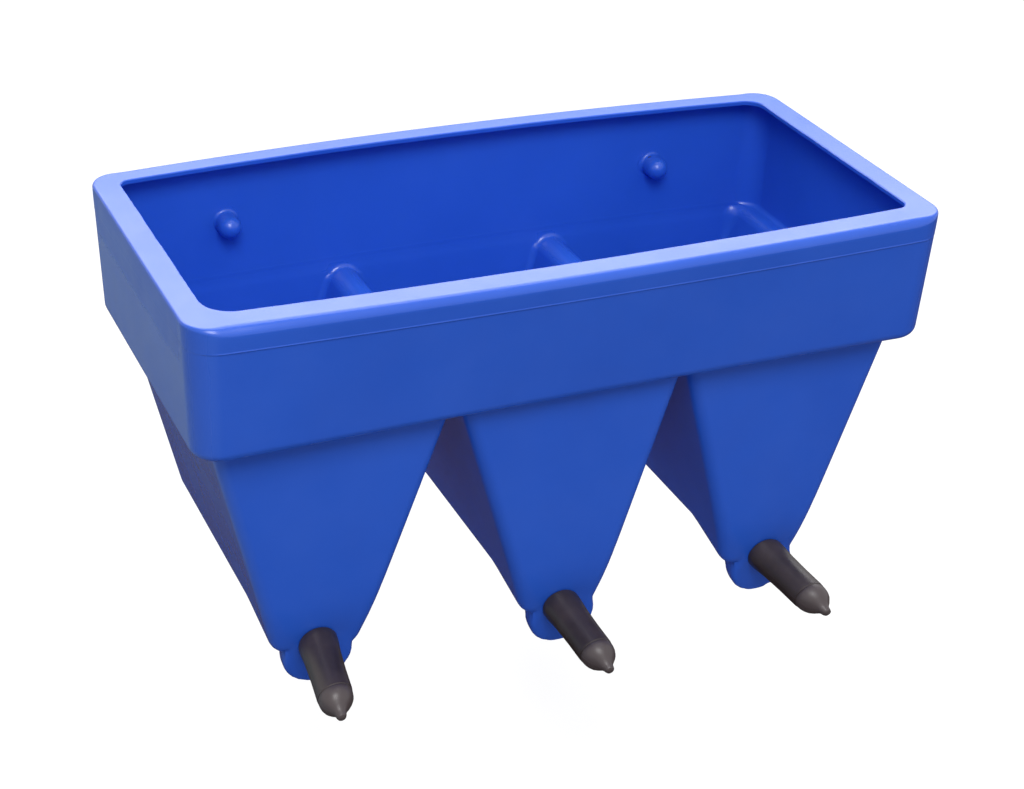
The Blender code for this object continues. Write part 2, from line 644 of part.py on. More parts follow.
def build_hangers(collection, guides, parent, steel):
    """The two bent hangers. Each turns about its bolt, so its origin is on the bolt's axis."""
    for side, sign in SIDES:
        mouth = Vector((sign * HANGER_SPACING / 2, pad_face_y(), -BOLT_DEPTH))
        bm = bmesh.new()
        half = HANGER_WIDTH / 2
        rows = []
        for outward, upward in hanger_path():
            rows.append([bm.verts.new((x, outward, upward)) for x in (-half, half)])
        for first, second in zip(rows, rows[1:]):
            bm.faces.new((first[0], first[1], second[1], second[0]))
        bmesh.ops.bevel(bm, geom=rows[0] + rows[-1], offset=HANGER_CORNER_RADIUS, segments=EDGE_SEGMENTS,
                        profile=0.5, affect="VERTICES")
        hanger = place_mesh("hanger_" + side, bm, collection, parent, steel, Matrix.Translation(mouth))
        solidify = hanger.modifiers.new("Bar thickness", "SOLIDIFY")
        solidify.thickness = HANGER_THICKNESS
        solidify.offset = 0
        hole = plug_profile(BOLT_RADIUS + SWIVEL_GAP, HANGER_THICKNESS + CUT_OVERLAP, CUT_OVERLAP)
        cutter = place_mesh("hanger_hole", spun(hole), guides, parent, matrix=axis_frame(mouth, OUTWARD))
        add_boolean(hanger, cutter, "DIFFERENCE")
        even_shading(hanger)


def main():
    """Clears the scene and builds the feeder."""
    for item in list(bpy.data.objects):
        bpy.data.objects.remove(item, do_unlink=True)
    parts = fresh_collection(OBJECT_NAME)
    guides = fresh_collection("guides")
    frame = bpy.data.objects.new("trough_frame", None)
    frame.location = (0, -rail_y(), HANGER_SEAT_DEPTH)
    parts.objects.link(frame)
    plastic = make_material("blue_polyethylene", (0.018, 0.075, 0.48), 0.28)
    rubber = make_material("black_rubber", (0.022, 0.018, 0.018), 0.55)
    brass = make_material("brass", (0.71, 0.53, 0.26), 0.3, 1.0)
    steel = make_material("galvanised_steel", (0.62, 0.63, 0.65), 0.45, 1.0)
    zinc = make_material("zinc_plated_steel", (0.66, 0.66, 0.68), 0.3, 1.0)
    build_trough(parts, guides, frame, plastic)
    build_teats(parts, frame, rubber)
    build_inserts(parts, frame, brass)
    build_hangers(parts, guides, frame, steel)
    build_fasteners(parts, guides, frame, zinc)
    bpy.context.view_layer.update()


main()
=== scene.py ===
"""Looks of a multi-teat milk feeder: a rotomoulded polyethylene trough with three rubber teats,
hung by two galvanised hooks. Shapes are worked out with numpy in the trough's own millimetres (x along
it, y to its back, z up, zero at the middle of the rim's top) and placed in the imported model's frame."""
import json
import math

import bmesh
import bpy
import numpy as np
from mathutils import Matrix, Vector


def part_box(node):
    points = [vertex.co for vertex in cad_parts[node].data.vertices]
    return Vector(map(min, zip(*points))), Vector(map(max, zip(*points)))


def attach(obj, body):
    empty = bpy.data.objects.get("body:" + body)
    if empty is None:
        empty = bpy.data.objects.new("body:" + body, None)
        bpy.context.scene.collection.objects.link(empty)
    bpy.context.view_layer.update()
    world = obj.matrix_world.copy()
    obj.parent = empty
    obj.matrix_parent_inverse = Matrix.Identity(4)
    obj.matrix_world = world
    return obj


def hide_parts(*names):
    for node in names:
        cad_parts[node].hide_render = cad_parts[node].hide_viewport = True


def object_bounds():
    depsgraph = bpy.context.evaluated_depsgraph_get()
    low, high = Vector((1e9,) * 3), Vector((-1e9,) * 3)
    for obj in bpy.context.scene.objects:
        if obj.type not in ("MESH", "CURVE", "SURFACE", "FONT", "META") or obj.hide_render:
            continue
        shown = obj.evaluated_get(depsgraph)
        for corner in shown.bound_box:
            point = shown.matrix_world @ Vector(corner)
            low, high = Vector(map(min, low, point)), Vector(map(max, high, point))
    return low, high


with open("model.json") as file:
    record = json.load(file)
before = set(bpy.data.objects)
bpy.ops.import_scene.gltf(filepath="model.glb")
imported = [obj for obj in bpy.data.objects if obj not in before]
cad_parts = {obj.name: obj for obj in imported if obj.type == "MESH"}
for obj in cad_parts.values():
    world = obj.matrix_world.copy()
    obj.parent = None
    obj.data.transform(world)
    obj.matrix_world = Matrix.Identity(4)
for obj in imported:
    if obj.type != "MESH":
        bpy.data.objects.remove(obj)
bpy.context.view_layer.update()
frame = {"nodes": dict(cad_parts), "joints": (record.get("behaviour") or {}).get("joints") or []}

MM = 0.001
DEG = math.pi / 180
SIDES = (("left", -1), ("right", 1))

# The band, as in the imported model.
BAND_LENGTH = 720
BAND_WIDTH = 339
BAND_HEIGHT = 129
BAND_DRAFT = 4.4
BAND_CORNER_RADIUS = 27
BAND_FOOT_RADIUS = 10
RIM_EDGE_RADIUS = 8
RIM_EDGE_SHARE_AT_ENDS = 0.4
WALL = 5
FRONT_BULGE_AT_RIM = 9.7
FRONT_BULGE_AT_BAND_FOOT = -3.9
BACK_BULGE_AT_RIM = 18
RIM_AT_ENDS = 25
RIM_AT_FRONT = 30
RIM_AT_BACK = 26
END_BLEND_FROM = 40
END_BLEND_TO = 6

# The rim's opening. Its hand-cut edge wanders: each wave has an amount, a count round it and a phase.
OPENING_RADII = (25, 12, 16, 10)
OPENING_EASE = 0.9
OPENING_WANDER = ((0.2, 11, 0), (0.1, 29, 0.7))
LEFT_CHATTER = 0.14
LEFT_CHATTER_COUNT = 97
LEFT_CHATTER_DRIFT = 9

# The parting line of the mould, and the slightly proud lip above it, both fainter at the ends.
PARTING_DEPTH = 22.8
PARTING_PROUD = 0.8
PARTING_BLUR = 0.5
PARTING_FLASH = 0.5
PARTING_FLASH_HEIGHT = 0.8
PARTING_REACH = 3
PARTING_LOSS_AT_ENDS = 0.85

# The compartments, from left to right. A span is the two heights between which a change comes in.
COMPARTMENT_PITCH = 226
COMPARTMENT_WIDTH_TOP = 221
COMPARTMENT_WIDTH_FOOT = 91
COMPARTMENT_FOOT_DEPTH = 346
COMPARTMENT_SETBACK = 26
SPINE_INSIDE = 46
FAN_ABOVE_FOOT = 42
COMPARTMENT_BACK_LEAN = 12
COMPARTMENT_BACK_STEP = 0.6
COMPARTMENT_EDGE_RADIUS = 12
COMPARTMENT_FOOT_RADIUS = 11
COMPARTMENT_TOP_FILLET = 7
COMPARTMENT_INNER_CORNER = 7
INNER_CORNER_SPAN = (-145, -235)
END_INNER_CORNER = 16
END_CORNER_SPAN = (-160, -124)
HOLLOW_BACK_INSIDE = 4.15
HOLLOW_BACK_STEP = 0.05
HOLLOW_STEP_SPAN = (-112, -119)
HOLLOW_LEAN_SPAN = (-119, -137)

# The ridges between the compartments, the collars at their back ends, and the webs under them.
RIDGE_TOP = -132.5
RIDGE_SHIFT = 3.5
RIDGE_SHIFT_SPAN = (-230, -150)
RIDGE_THICKER = 3.2
RIDGE_THICKER_SPAN = (-260, -150)
RIDGE_ROUNDING = 11
RIDGE_CORNER_DEPTH = 8
RIDGE_OVERREACH = 1
COLLAR_FILLET = 5
COLLAR_INSIDE_RIDGE = 0.15
COLLAR_SHARE_BELOW = 0.5
COLLAR_SUNK = 1.5
COLLAR_TAIL = 3
WEB_HALF_WIDTH = 6
WEB_EDGE = 3
WEB_EDGE_DEPTH = 2
WEB_FRONT_INSIDE = 4
WEB_BACK_OUTSIDE = 9
KNEE_ABOVE_FOOT = 22
KNEE_SOFTNESS = 16
COMPARTMENT_LEANS = (-14, 0, -6)
COMPARTMENT_FORWARD = (0, 5, 0)
COMPARTMENT_DROPS = (-9, 5, 2)
TOE_OFFSETS = (1.5, 5, 8)
TEAT_HOLE_OFFSETS = (-3, -7, -3.5)

# The nose under each foot, and the toe.
NOSE_DEPTH = 58
NOSE_TIP_DEPTH = 12
NOSE_DROP = 20
NOSE_LOWER_LEFT = 4
NOSE_LOWER_RIGHT = (11, 16, 5)
NOSE_TILT_REACH = 30
TOE_AXIS_BELOW_FOOT = 28.5
TOE_LOWER = 5
TOE_RADIUS = 33.2
TOE_BARREL_LENGTH = 10
TOE_FACE_PROUD = 1
TOE_EDGE_RADIUS = 5
TOE_BLEND_RADIUS = 7
TOE_BLEND_FROM = 1
TOE_BLEND_TO = 16
TEAT_HOLE_RISE = 21

# The teats.
TEAT_DROOP = 11 * DEG
TEAT_LEANS = (-5.5 * DEG, 6 * DEG, 12 * DEG)
TEAT_LENGTH = 95
TEAT_BASE_RADIUS = 18.4
TEAT_BARREL_RADIUS = 16.6
TEAT_NECK_RADIUS = 14
TEAT_FLANGE_RADIUS = 20.5
TEAT_FLANGE_THICKNESS = 5
TEAT_BORE_RADIUS = 9
TEAT_BORE_DEPTH = 60
TEAT_BORE_END_RADIUS = 4
TEAT_BORE_END = 14
TEAT_SEAM = 0.28
TEAT_SEAM_WIDTH = 0.05
# Where the painted highlight on a teat's dome fades in, in mm back from the tip: a lighter grey standing in
# for light on the dome.
TEAT_PAINTED_HIGHLIGHT_FROM = 27
TEAT_PAINTED_HIGHLIGHT_TO = 24

# The hanger seats, inserts and fasteners.
HANGER_SPACING = 458
BOLT_DEPTH = 64
PAD_WIDTH = 62
PAD_ABOVE_BOLT = 36
PAD_BELOW_BOLT = 38
PAD_PROUD = 6
PAD_EDGE_RADIUS = 3
PAD_CORNER_RADIUS = 10
BOSS_SHIFTS = {"left": (1, 0, -3), "right": (1.5, 0, -3.5)}
BOSS_RADIUS = 11
BOSS_LENGTH = 13
BOSS_FOOT_RADIUS = 4
INSERT_RADIUS = 7
INSERT_LENGTH = 15
SEAT_GAP = 0.3

# Where the duller inside begins: its depth under the outer surface, and under the rim's top.
INSIDE_DEPTHS = (-2, -4)
INSIDE_BELOW_RIM = (-0.5, -3)

# The camera, fitted to the photograph: its axes, its place in the trough's millimetres, and its lens.
CAMERA_RIGHT = (0.91464, -0.40248, 0.03804)
CAMERA_UP = (0.16401, 0.45542, 0.87504)
CAMERA_PLACE = (-733.6, -1583.0, 751.7)
FOCAL_PIXELS = 2057.6
PICTURE_PIXELS = 1024
SENSOR_WIDTH = 36
VIEW_END = 50

# The stage, in metres: the floor under the toes, the ground in reflections, and the even sky. The paper's
# glow and what it takes of the light add up to white. Each lamp has a place, a size and a power.
FLOOR_DROP = 0.14
FLOOR_REACH = 8
PAPER_GLOW = 0.86
PAPER_SHADE = 0.17
GROUND_REACH = 3
GROUND_RISE = 0.004
# Across x in metres, where the mirrored ground turns from grey to the dark brown of its painted shadow.
GROUND_PAINTED_SHADOW_FROM = -0.62
GROUND_PAINTED_SHADOW_TO = -0.3
SKY_TOWARD = (0.32, -0.1, 0.94)
SKY_FROM = -0.15
SKY_TO = 0.7
SKY_DARKEST = 0.03
SKY_BRIGHTEST = 0.8
LAMP_AIM = (0, -0.2, -0.1)
LAMPS = (("key", (-0.75, -2.2, 2.3), (1.3, 1.3), 56), ("sky_behind", (0.5, 1.5, 1.55), (4.0, 1.5), 60),
         ("sky_above", (0.3, 0.4, 2.5), (2.2, 1.4), 24))

# Fineness of the grids.
CORNER_STEPS = 12
LONG_STEPS = 72
SIDE_STEPS = 26
COMPARTMENT_FRONT_STEPS = 22
COMPARTMENT_FLANK_STEPS = 24
COMPARTMENT_CORNER_STEPS = 8
EDGE_STEPS = 8
COMPARTMENT_LEVELS = 24
BAND_LEVELS = 14
PARTING_LEVELS = 19
LIP_LEVELS = 6
OPENING_LONG_STEPS = 170
OPENING_SIDE_STEPS = 80
FAN_STEPS = 34
TURN_STEPS = 64
TEAT_TURN_STEPS = 96
ROUND_STEPS = 14
FLARE_STEPS = 10
BOSS_POLE_ANGLE = 89.5

# How the pieces are worked out: overlaps of cuts and joins, the ray search, welding and sharp edges.
CUT_OVERLAP = 6
JOIN_OVERLAP = 12
LEAST_GAP = 0.01
ABOVE_RIDGE = 0.05
RAY_START = 10.0
RAY_TRIES = 70
RAY_SHARE = 0.9
WELD = 0.00002
SHARP_ANGLE = 32 * DEG

HALF_LENGTH = BAND_LENGTH / 2
HALF_WIDTH = BAND_WIDTH / 2
COMPARTMENT_HEIGHT = COMPARTMENT_FOOT_DEPTH - BAND_HEIGHT
COMPARTMENT_TAPER = (COMPARTMENT_WIDTH_TOP - COMPARTMENT_WIDTH_FOOT) / 2 / COMPARTMENT_HEIGHT
COMPARTMENT_FRONT = -(HALF_WIDTH - BAND_DRAFT - COMPARTMENT_SETBACK)


def bulge_share(x):
    """Share of a long wall's bulge: one at the middle, nothing at the ends, a parabola between."""
    return np.maximum(1 - (x / HALF_LENGTH) ** 2, 0)


def front_bulge(x, z):
    """How far the band's front stands forward, changing evenly from the rim to the band's foot."""
    depth = np.clip(-z / BAND_HEIGHT, 0, 1)
    return bulge_share(x) * (FRONT_BULGE_AT_RIM + (FRONT_BULGE_AT_BAND_FOOT - FRONT_BULGE_AT_RIM) * depth)


def back_bulge(x, z):
    """How far the back wall stands back, fading evenly to nothing at the compartments' feet."""
    depth = np.clip(-z / COMPARTMENT_FOOT_DEPTH, 0, 1)
    return bulge_share(x) * BACK_BULGE_AT_RIM * (1 - depth)


def draft_at(z):
    """How far the band's walls have drawn in at a height."""
    return BAND_DRAFT * -z / BAND_HEIGHT


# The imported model's joint gives the pads' face, and so where the trough's own frame lies.
pad_wall = HALF_WIDTH - draft_at(-BOLT_DEPTH) + float(back_bulge(HANGER_SPACING / 2, -BOLT_DEPTH))
PAD_FACE = pad_wall + PAD_PROUD
RIM_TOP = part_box("tub_shell")[1].z
TROUGH_ORIGIN = np.array([0, frame["joints"][0]["pos_m"][1] - PAD_FACE * MM, RIM_TOP])


def to_world(points):
    """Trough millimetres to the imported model's metres."""
    return np.asarray(points, float) * MM + TROUGH_ORIGIN


def surface_mesh(name, grid, poles=(False, False), caps=(True, True)):
    """A closed surface from a grid of points whose columns run right round.

    Row by row each point is joined to its neighbours. An end row that has closed to a point becomes one
    vertex, and any other end row gets one flat face.
    """
    rows, columns = grid.shape[:2]
    index = np.arange(rows * columns).reshape(rows, columns)
    following = np.roll(index, -1, axis=1)
    quads = np.stack([index[:-1], index[1:], following[1:], following[:-1]], axis=-1).reshape(-1, 4)
    faces = quads.tolist()
    if caps[0] and not poles[0]:
        faces.append(index[0].tolist())
    if caps[1] and not poles[1]:
        faces.append(index[-1][::-1].tolist())
    mesh = bpy.data.meshes.new(name)
    mesh.from_pydata(to_world(grid.reshape(-1, 3)).tolist(), [], faces)
    item = bpy.data.objects.new(name, mesh)
    bpy.context.scene.collection.objects.link(item)
    weld_and_orient(item)
    return item


def weld_and_orient(item):
    """Merges a mesh's doubled points, and turns its faces outwards."""
    bm = bmesh.new()
    bm.from_mesh(item.data)
    bmesh.ops.remove_doubles(bm, verts=bm.verts, dist=WELD)
    bmesh.ops.dissolve_degenerate(bm, edges=bm.edges, dist=WELD / 2)
    bmesh.ops.recalc_face_normals(bm, faces=bm.faces)
    bm.to_mesh(item.data)
    bm.free()


def smooth_step(low, high, value):
    """Nought below low, one above high, and an S curve between."""
    share = np.clip((value - low) / (high - low), 0, 1)
    return share * share * (3 - 2 * share)


def rounded_rectangle(left, right, front, back, radii, side_steps, end_steps, corner_steps):
    """The outline of a rectangle with round corners, as arrays that start at its front left corner.

    The bounds may be arrays down the first axis, one for each level. Each corner is a quarter circle, and
    the sides between are cut evenly.
    """
    bounds = (left, right, front, back)
    left, right, front, back = (np.atleast_1d(np.asarray(bound, float))[:, None] for bound in bounds)
    corners = ((left, front, 1, 1, 180), (right, front, -1, 1, 270), (right, back, -1, -1, 0),
               (left, back, 1, -1, 90))
    steps = (side_steps, end_steps, side_steps, end_steps)
    arcs = []
    for (x, y, inward_x, inward_y, start), radius in zip(corners, radii):
        radius = np.atleast_1d(np.asarray(radius, float))[:, None]
        angle = (start + 90 * np.arange(corner_steps + 1) / corner_steps)[None] * DEG
        arcs.append((x + radius * (inward_x + np.cos(angle)), y + radius * (inward_y + np.sin(angle))))
    xs, ys = [], []
    for number, (arc_x, arc_y) in enumerate(arcs):
        next_x, next_y = arcs[(number + 1) % 4]
        share = (np.arange(1, steps[number]) / steps[number])[None]
        xs += [arc_x, arc_x[:, -1:] + (next_x[:, :1] - arc_x[:, -1:]) * share]
        ys += [arc_y, arc_y[:, -1:] + (next_y[:, :1] - arc_y[:, -1:]) * share]
    return np.concatenate(xs, axis=1), np.concatenate(ys, axis=1)


def rounded_foot(z, radius):
    """Levels of a rounded bottom edge from z up, and how far the wall is drawn in at each."""
    angle = np.arange(EDGE_STEPS + 1) / EDGE_STEPS * 90 * DEG
    return z + radius * (1 - np.cos(angle)), radius * (1 - np.sin(angle))


def rounded_top(z, radius):
    """Levels of a rounded top edge up to z. A negative radius flares the wall outwards instead."""
    angle = np.arange(EDGE_STEPS + 1) / EDGE_STEPS * 90 * DEG
    return z - abs(radius) * (1 - np.sin(angle)), radius * (1 - np.cos(angle))


def parting_relief(z):
    """How far the outside stands proud: a lip above the parting line, and a thin flash along it."""
    lip = PARTING_PROUD * smooth_step(-PARTING_DEPTH - PARTING_BLUR, -PARTING_DEPTH + PARTING_BLUR, z)
    lip = lip * smooth_step(0, -RIM_EDGE_RADIUS, z)
    flash = PARTING_FLASH * np.exp(-((z + PARTING_DEPTH) / PARTING_FLASH_HEIGHT) ** 2)
    return lip + flash


def band_grid(inset):
    """The band as a loft: at each level a rounded rectangle whose long sides bulge.

    With an inset it is the hollow. The outside also carries the parting line's relief, and its top edge
    is less round at the ends than along the sides.
    """
    foot_z, foot_in = rounded_foot(-BAND_HEIGHT + inset, max(BAND_FOOT_RADIUS - inset, 1))
    top_z, top_in = rounded_top(-inset, max(RIM_EDGE_RADIUS - inset, 1))
    between = np.linspace(foot_z[-1], -PARTING_DEPTH - PARTING_REACH, BAND_LEVELS)[1:-1]
    parting = -PARTING_DEPTH + np.linspace(-PARTING_REACH, PARTING_REACH, PARTING_LEVELS)
    upper = np.linspace(parting[-1], top_z[0], LIP_LEVELS)[1:-1]
    z = np.concatenate([foot_z, between, parting, upper, top_z])
    drawn_in = np.concatenate([foot_in, np.zeros(len(between) + len(parting) + len(upper)), top_in])
    rounding = np.zeros_like(drawn_in)
    rounding[-len(top_in):] = top_in

    def outline(drawn):
        """The outline at each level with its walls drawn in, and half its depth."""
        half_x = HALF_LENGTH - inset - draft_at(z) - drawn
        half_y = HALF_WIDTH - inset - draft_at(z) - drawn
        radius = np.maximum(BAND_CORNER_RADIUS - inset - drawn, 1)
        return rounded_rectangle(-half_x, half_x, -half_y, half_y, (radius,) * 4, LONG_STEPS, SIDE_STEPS,
                                 CORNER_STEPS) + (half_y,)

    x, y, half_y = outline(drawn_in)
    level = np.repeat(z[:, None], x.shape[1], axis=1)
    if not inset:
        above_foot = x[len(foot_z):len(foot_z) + 1]
        at_end = smooth_step(HALF_LENGTH - END_BLEND_FROM, HALF_LENGTH - END_BLEND_TO, np.abs(above_foot))
        share = 1 - (1 - RIM_EDGE_SHARE_AT_ENDS) * at_end
        full_x, full_y, _ = outline(drawn_in - rounding)
        x, y = full_x + (x - full_x) * share, full_y + (y - full_y) * share
        level[-len(top_z):] = level[-len(top_z):] * share
        proud_x, proud_y, _ = outline(drawn_in - 1)
        relief = parting_relief(z)[:, None] * (1 - PARTING_LOSS_AT_ENDS * at_end)
        x, y = x + (proud_x - full_x) * relief, y + (proud_y - full_y) * relief
    bulge = np.where(y > 0, back_bulge(x, level), front_bulge(x, level))
    y = y + bulge * y / half_y[:, None]
    return np.stack([x, y, level], axis=-1)


def rounded_both(a, b, radius):
    """Signed distance to what lies inside both shapes, with the edge between them rounded."""
    a, b = a + radius, b + radius
    return np.minimum(np.maximum(a, b), 0) + np.hypot(np.maximum(a, 0), np.maximum(b, 0)) - radius


def rounded_either(a, b, radius):
    """Signed distance to what lies inside either shape, with the corner between them filled round."""
    filled = np.hypot(np.maximum(radius - a, 0), np.maximum(radius - b, 0))
    return np.maximum(radius, np.minimum(a, b)) - filled


class Compartment:
    """One compartment: its places, and the signed distance to its outside."""

    def __init__(self, index):
        self.name = ("left", "middle", "right")[index]
        self.top_middle = (index - 1) * COMPARTMENT_PITCH
        self.lean = COMPARTMENT_LEANS[index]
        self.front = COMPARTMENT_FRONT - COMPARTMENT_FORWARD[index]
        self.foot = -COMPARTMENT_FOOT_DEPTH - COMPARTMENT_DROPS[index]
        self.knee = self.foot + KNEE_ABOVE_FOOT
        axis_z = self.foot - TOE_AXIS_BELOW_FOOT
        self.teat_lean = TEAT_LEANS[index]
        self.nose_lower_right = NOSE_LOWER_RIGHT[index]
        self.out = np.array([0, -math.cos(TEAT_DROOP), -math.sin(TEAT_DROOP)])
        self.up = np.array([0, -math.sin(TEAT_DROOP), math.cos(TEAT_DROOP)])
        front = self.front + (self.knee - axis_z) * math.tan(TEAT_DROOP)
        self.toe = np.array([self.middle(axis_z) + TOE_OFFSETS[index], front, axis_z])
        self.toe = self.toe + self.out * TOE_FACE_PROUD - self.up * TOE_LOWER
        self.hole = self.toe + np.array([TEAT_HOLE_OFFSETS[index], 0, 0]) + self.up * TEAT_HOLE_RISE

    def middle(self, z):
        """The x of its middle at a height below the band."""
        return self.top_middle + self.lean * np.maximum(-z - BAND_HEIGHT, 0) / COMPARTMENT_HEIGHT

    def half_width(self, z):
        """Half its width at a height."""
        return COMPARTMENT_WIDTH_TOP / 2 - COMPARTMENT_TAPER * (-z - BAND_HEIGHT)

    def front_at(self, z):
        """Its front, which leans back below its knee, and has come forward to the toe's face by there."""
        below = self.knee - z
        below = (below + np.hypot(below, KNEE_SOFTNESS)) / 2
        forward = TOE_FACE_PROUD * np.clip(below / KNEE_ABOVE_FOOT, 0, 1)
        return self.front + below * math.tan(TEAT_DROOP) - forward

    def back_at(self, z):
        """Its back over straight walls, which leans forward a little towards the foot."""
        lean = COMPARTMENT_BACK_LEAN * np.maximum(-z - BAND_HEIGHT, 0) / COMPARTMENT_HEIGHT
        return HALF_WIDTH - BAND_DRAFT - COMPARTMENT_BACK_STEP - lean

    def distance(self, points):
        """Signed distance to its outside: the tapered body with the nose under it, and the toe.

        The body lies inside a rounded rectangle at each level and above the underside, which is the foot's
        plane or, at the front, the nose's slope, lower at its right. The toe is a round-ended barrel behind
        a flat face.
        """
        x, y, z = points[..., 0], points[..., 1], points[..., 2]
        front, back = self.front_at(z), self.back_at(z)
        y_flat = np.where(y > 0, y / (1 + back_bulge(x, z) / back), y)
        radius = COMPARTMENT_EDGE_RADIUS
        flat = 1 / math.hypot(1, COMPARTMENT_TAPER)
        across = (np.abs(x - self.middle(z)) - self.half_width(z)) * flat + radius
        along = np.abs(y_flat - (front + back) / 2) - (back - front) / 2 + radius
        walls = np.hypot(np.maximum(across, 0), np.maximum(along, 0))
        walls = walls + np.minimum(np.maximum(across, along), 0) - radius
        run = NOSE_DEPTH - NOSE_TIP_DEPTH
        depth = y - self.front
        foot = self.foot - NOSE_LOWER_LEFT
        to_right = smooth_step(-NOSE_TILT_REACH, NOSE_TILT_REACH, x - self.toe[0])
        foot = foot - (self.nose_lower_right - NOSE_LOWER_LEFT) * to_right
        slope = ((depth - NOSE_DEPTH) * NOSE_DROP - (z - foot) * run) / math.hypot(run, NOSE_DROP)
        underside = np.minimum(self.foot - z, np.maximum(slope, foot - NOSE_DROP - z))
        body = rounded_both(walls, underside, COMPARTMENT_FOOT_RADIUS)
        offset = points - self.toe
        inward = -(offset @ self.out)
        aside = np.sqrt(np.maximum((offset ** 2).sum(-1) - inward ** 2, 0))
        barrel = np.hypot(aside, np.maximum(inward - TOE_BARREL_LENGTH, 0)) - TOE_RADIUS
        toe = rounded_both(barrel, -inward, TOE_EDGE_RADIUS)
        blend = TOE_BLEND_RADIUS * smooth_step(TOE_BLEND_FROM, TOE_BLEND_TO, y - front) + LEAST_GAP
        return rounded_either(body, toe, blend)

    def inner_back(self, z):
        """The hollow's back over straight walls: flush with the band's inside above, leaning below."""
        above = HALF_WIDTH - WALL - HOLLOW_BACK_INSIDE + HOLLOW_BACK_STEP * smooth_step(*HOLLOW_STEP_SPAN, z)
        below = self.back_at(z) - WALL
        return above + (below - above) * smooth_step(*HOLLOW_LEAN_SPAN, z)

    def side_at(self, z, inset, sign):
        """How far a side lies from its middle: a straight wall, and inside, over it, half a round ridge.

        Over the ridge's top the hollow reaches past the ridge's middle. The ridge at the trough's end is
        as high as the band's floor. The ones between the compartments are lower, and like the walls under
        them they are a little thicker than the rest and stand a little to the right.
        """
        slant = math.atan(COMPARTMENT_TAPER)
        if not inset:
            return self.half_width(np.minimum(z, -BAND_HEIGHT))
        top = self.ridge_top(sign)
        inner = self.half_width(top) - inset / math.cos(slant) - RIDGE_THICKER
        radius = ridge_radius(inner, slant)
        below = np.clip(top - z, 0, radius)
        arch = COMPARTMENT_PITCH / 2 - np.sqrt(radius ** 2 - (radius - below) ** 2)
        wall = self.half_width(z) - inset / math.cos(slant)
        wall = wall - RIDGE_THICKER * smooth_step(*RIDGE_THICKER_SPAN, z)
        side = np.where(below < radius * (1 - math.sin(slant)), arch, wall)
        side = side + sign * RIDGE_SHIFT * smooth_step(*RIDGE_SHIFT_SPAN, z)
        past_ridge = COMPARTMENT_PITCH / 2 + RIDGE_OVERREACH + sign * RIDGE_SHIFT
        return np.where(z > top + LEAST_GAP, past_ridge, side)

    def ridge_top(self, sign):
        """The height of the ridge at its left (-1) or right (1)."""
        return -BAND_HEIGHT + WALL if sign * self.top_middle > 1 else RIDGE_TOP

    def corner_at(self, z, sign, deep):
        """The radius of a back corner inside: sharp over a ridge, and wide at the trough's own corner."""
        if sign * self.top_middle > 1:
            return deep + (END_INNER_CORNER - deep) * smooth_step(*END_CORNER_SPAN, z)
        return 1 + (deep - 1) * smooth_step(RIDGE_TOP, RIDGE_TOP - RIDGE_CORNER_DEPTH, z)

    def top_levels(self, inset):
        """The levels from above the band's floor down to the straight walls, and the front's shift."""
        floor = -BAND_HEIGHT + inset
        flare_z, flare_in = rounded_top(floor, -COMPARTMENT_TOP_FILLET)
        z = np.concatenate([[floor + JOIN_OVERLAP], flare_z[::-1]])
        front = np.concatenate([[-COMPARTMENT_TOP_FILLET], flare_in[::-1]])
        if not inset:
            return z, front
        steps = RIDGE_ROUNDING * (1 - np.cos(np.linspace(0, 90, EDGE_STEPS + 2) * DEG))
        levels = [np.append(top - steps, top + ABOVE_RIDGE) for top in (floor, RIDGE_TOP)]
        levels = np.unique(np.concatenate([[z[0]]] + levels))[::-1]
        return levels, np.interp(-levels, -z, front)

    def grid(self, inset):
        """The compartment as one surface, from above the band's floor down to the toe.

        The walls are lofted from level sections. Below them each point runs out from a line inside the
        foot, down a fan of rays, until it meets the outside, or with an inset the wall's inside.
        """
        top_z, front_in = self.top_levels(inset)
        switch = self.foot + FAN_ABOVE_FOOT
        z = np.concatenate([top_z, np.linspace(top_z[-1], switch, COMPARTMENT_LEVELS)[1:]])
        front_in = np.concatenate([front_in, np.zeros(COMPARTMENT_LEVELS - 1)])
        plain = max(COMPARTMENT_EDGE_RADIUS - inset, 1)
        middle = self.middle(z)
        outside = 0 if inset else front_in
        left, right = self.side_at(z, inset, -1) - outside, self.side_at(z, inset, 1) - outside
        if inset:
            deep = COMPARTMENT_INNER_CORNER
            deep = deep + (plain - deep) * smooth_step(*INNER_CORNER_SPAN, z)
            left_corner, right_corner = (self.corner_at(z, sign, deep) for sign in (-1, 1))
        else:
            left_corner = right_corner = np.maximum(COMPARTMENT_EDGE_RADIUS - front_in, 1)
        front = self.front_at(z) + inset + front_in
        back = self.inner_back(z) if inset else self.back_at(z) - np.maximum(front_in, 0)
        radius = np.maximum(plain - front_in, 1)
        x, y = rounded_rectangle(middle - left, middle + right, front, back,
                                 (radius, radius, right_corner, left_corner), COMPARTMENT_FRONT_STEPS,
                                 COMPARTMENT_FLANK_STEPS, COMPARTMENT_CORNER_STEPS)
        level = np.broadcast_to(z[:, None], x.shape)
        spine_y = np.clip(y[-1], self.front + SPINE_INSIDE, self.back_at(switch) - SPINE_INSIDE)
        y = np.where(y > 0, y + back_bulge(x, level) * y / back[:, None], y)
        walls = np.stack([x, y, level], axis=-1)

        last = walls[-1]
        origin = np.stack([np.full(len(last), self.toe[0]), spine_y, np.full(len(last), switch)], axis=-1)
        outward = last - origin
        outward /= np.linalg.norm(outward, axis=-1, keepdims=True)
        angle = (np.arange(1, FAN_STEPS + 1) / FAN_STEPS * 90 * DEG)[:, None, None]
        rays = np.cos(angle) * outward + np.sin(angle) * np.array([0, 0, -1.0])
        reach = np.full(rays.shape[:2], RAY_START)
        for _ in range(RAY_TRIES):
            reach -= RAY_SHARE * (self.distance(origin + rays * reach[..., None]) + inset)
        return np.concatenate([walls, origin + rays * reach[..., None]])


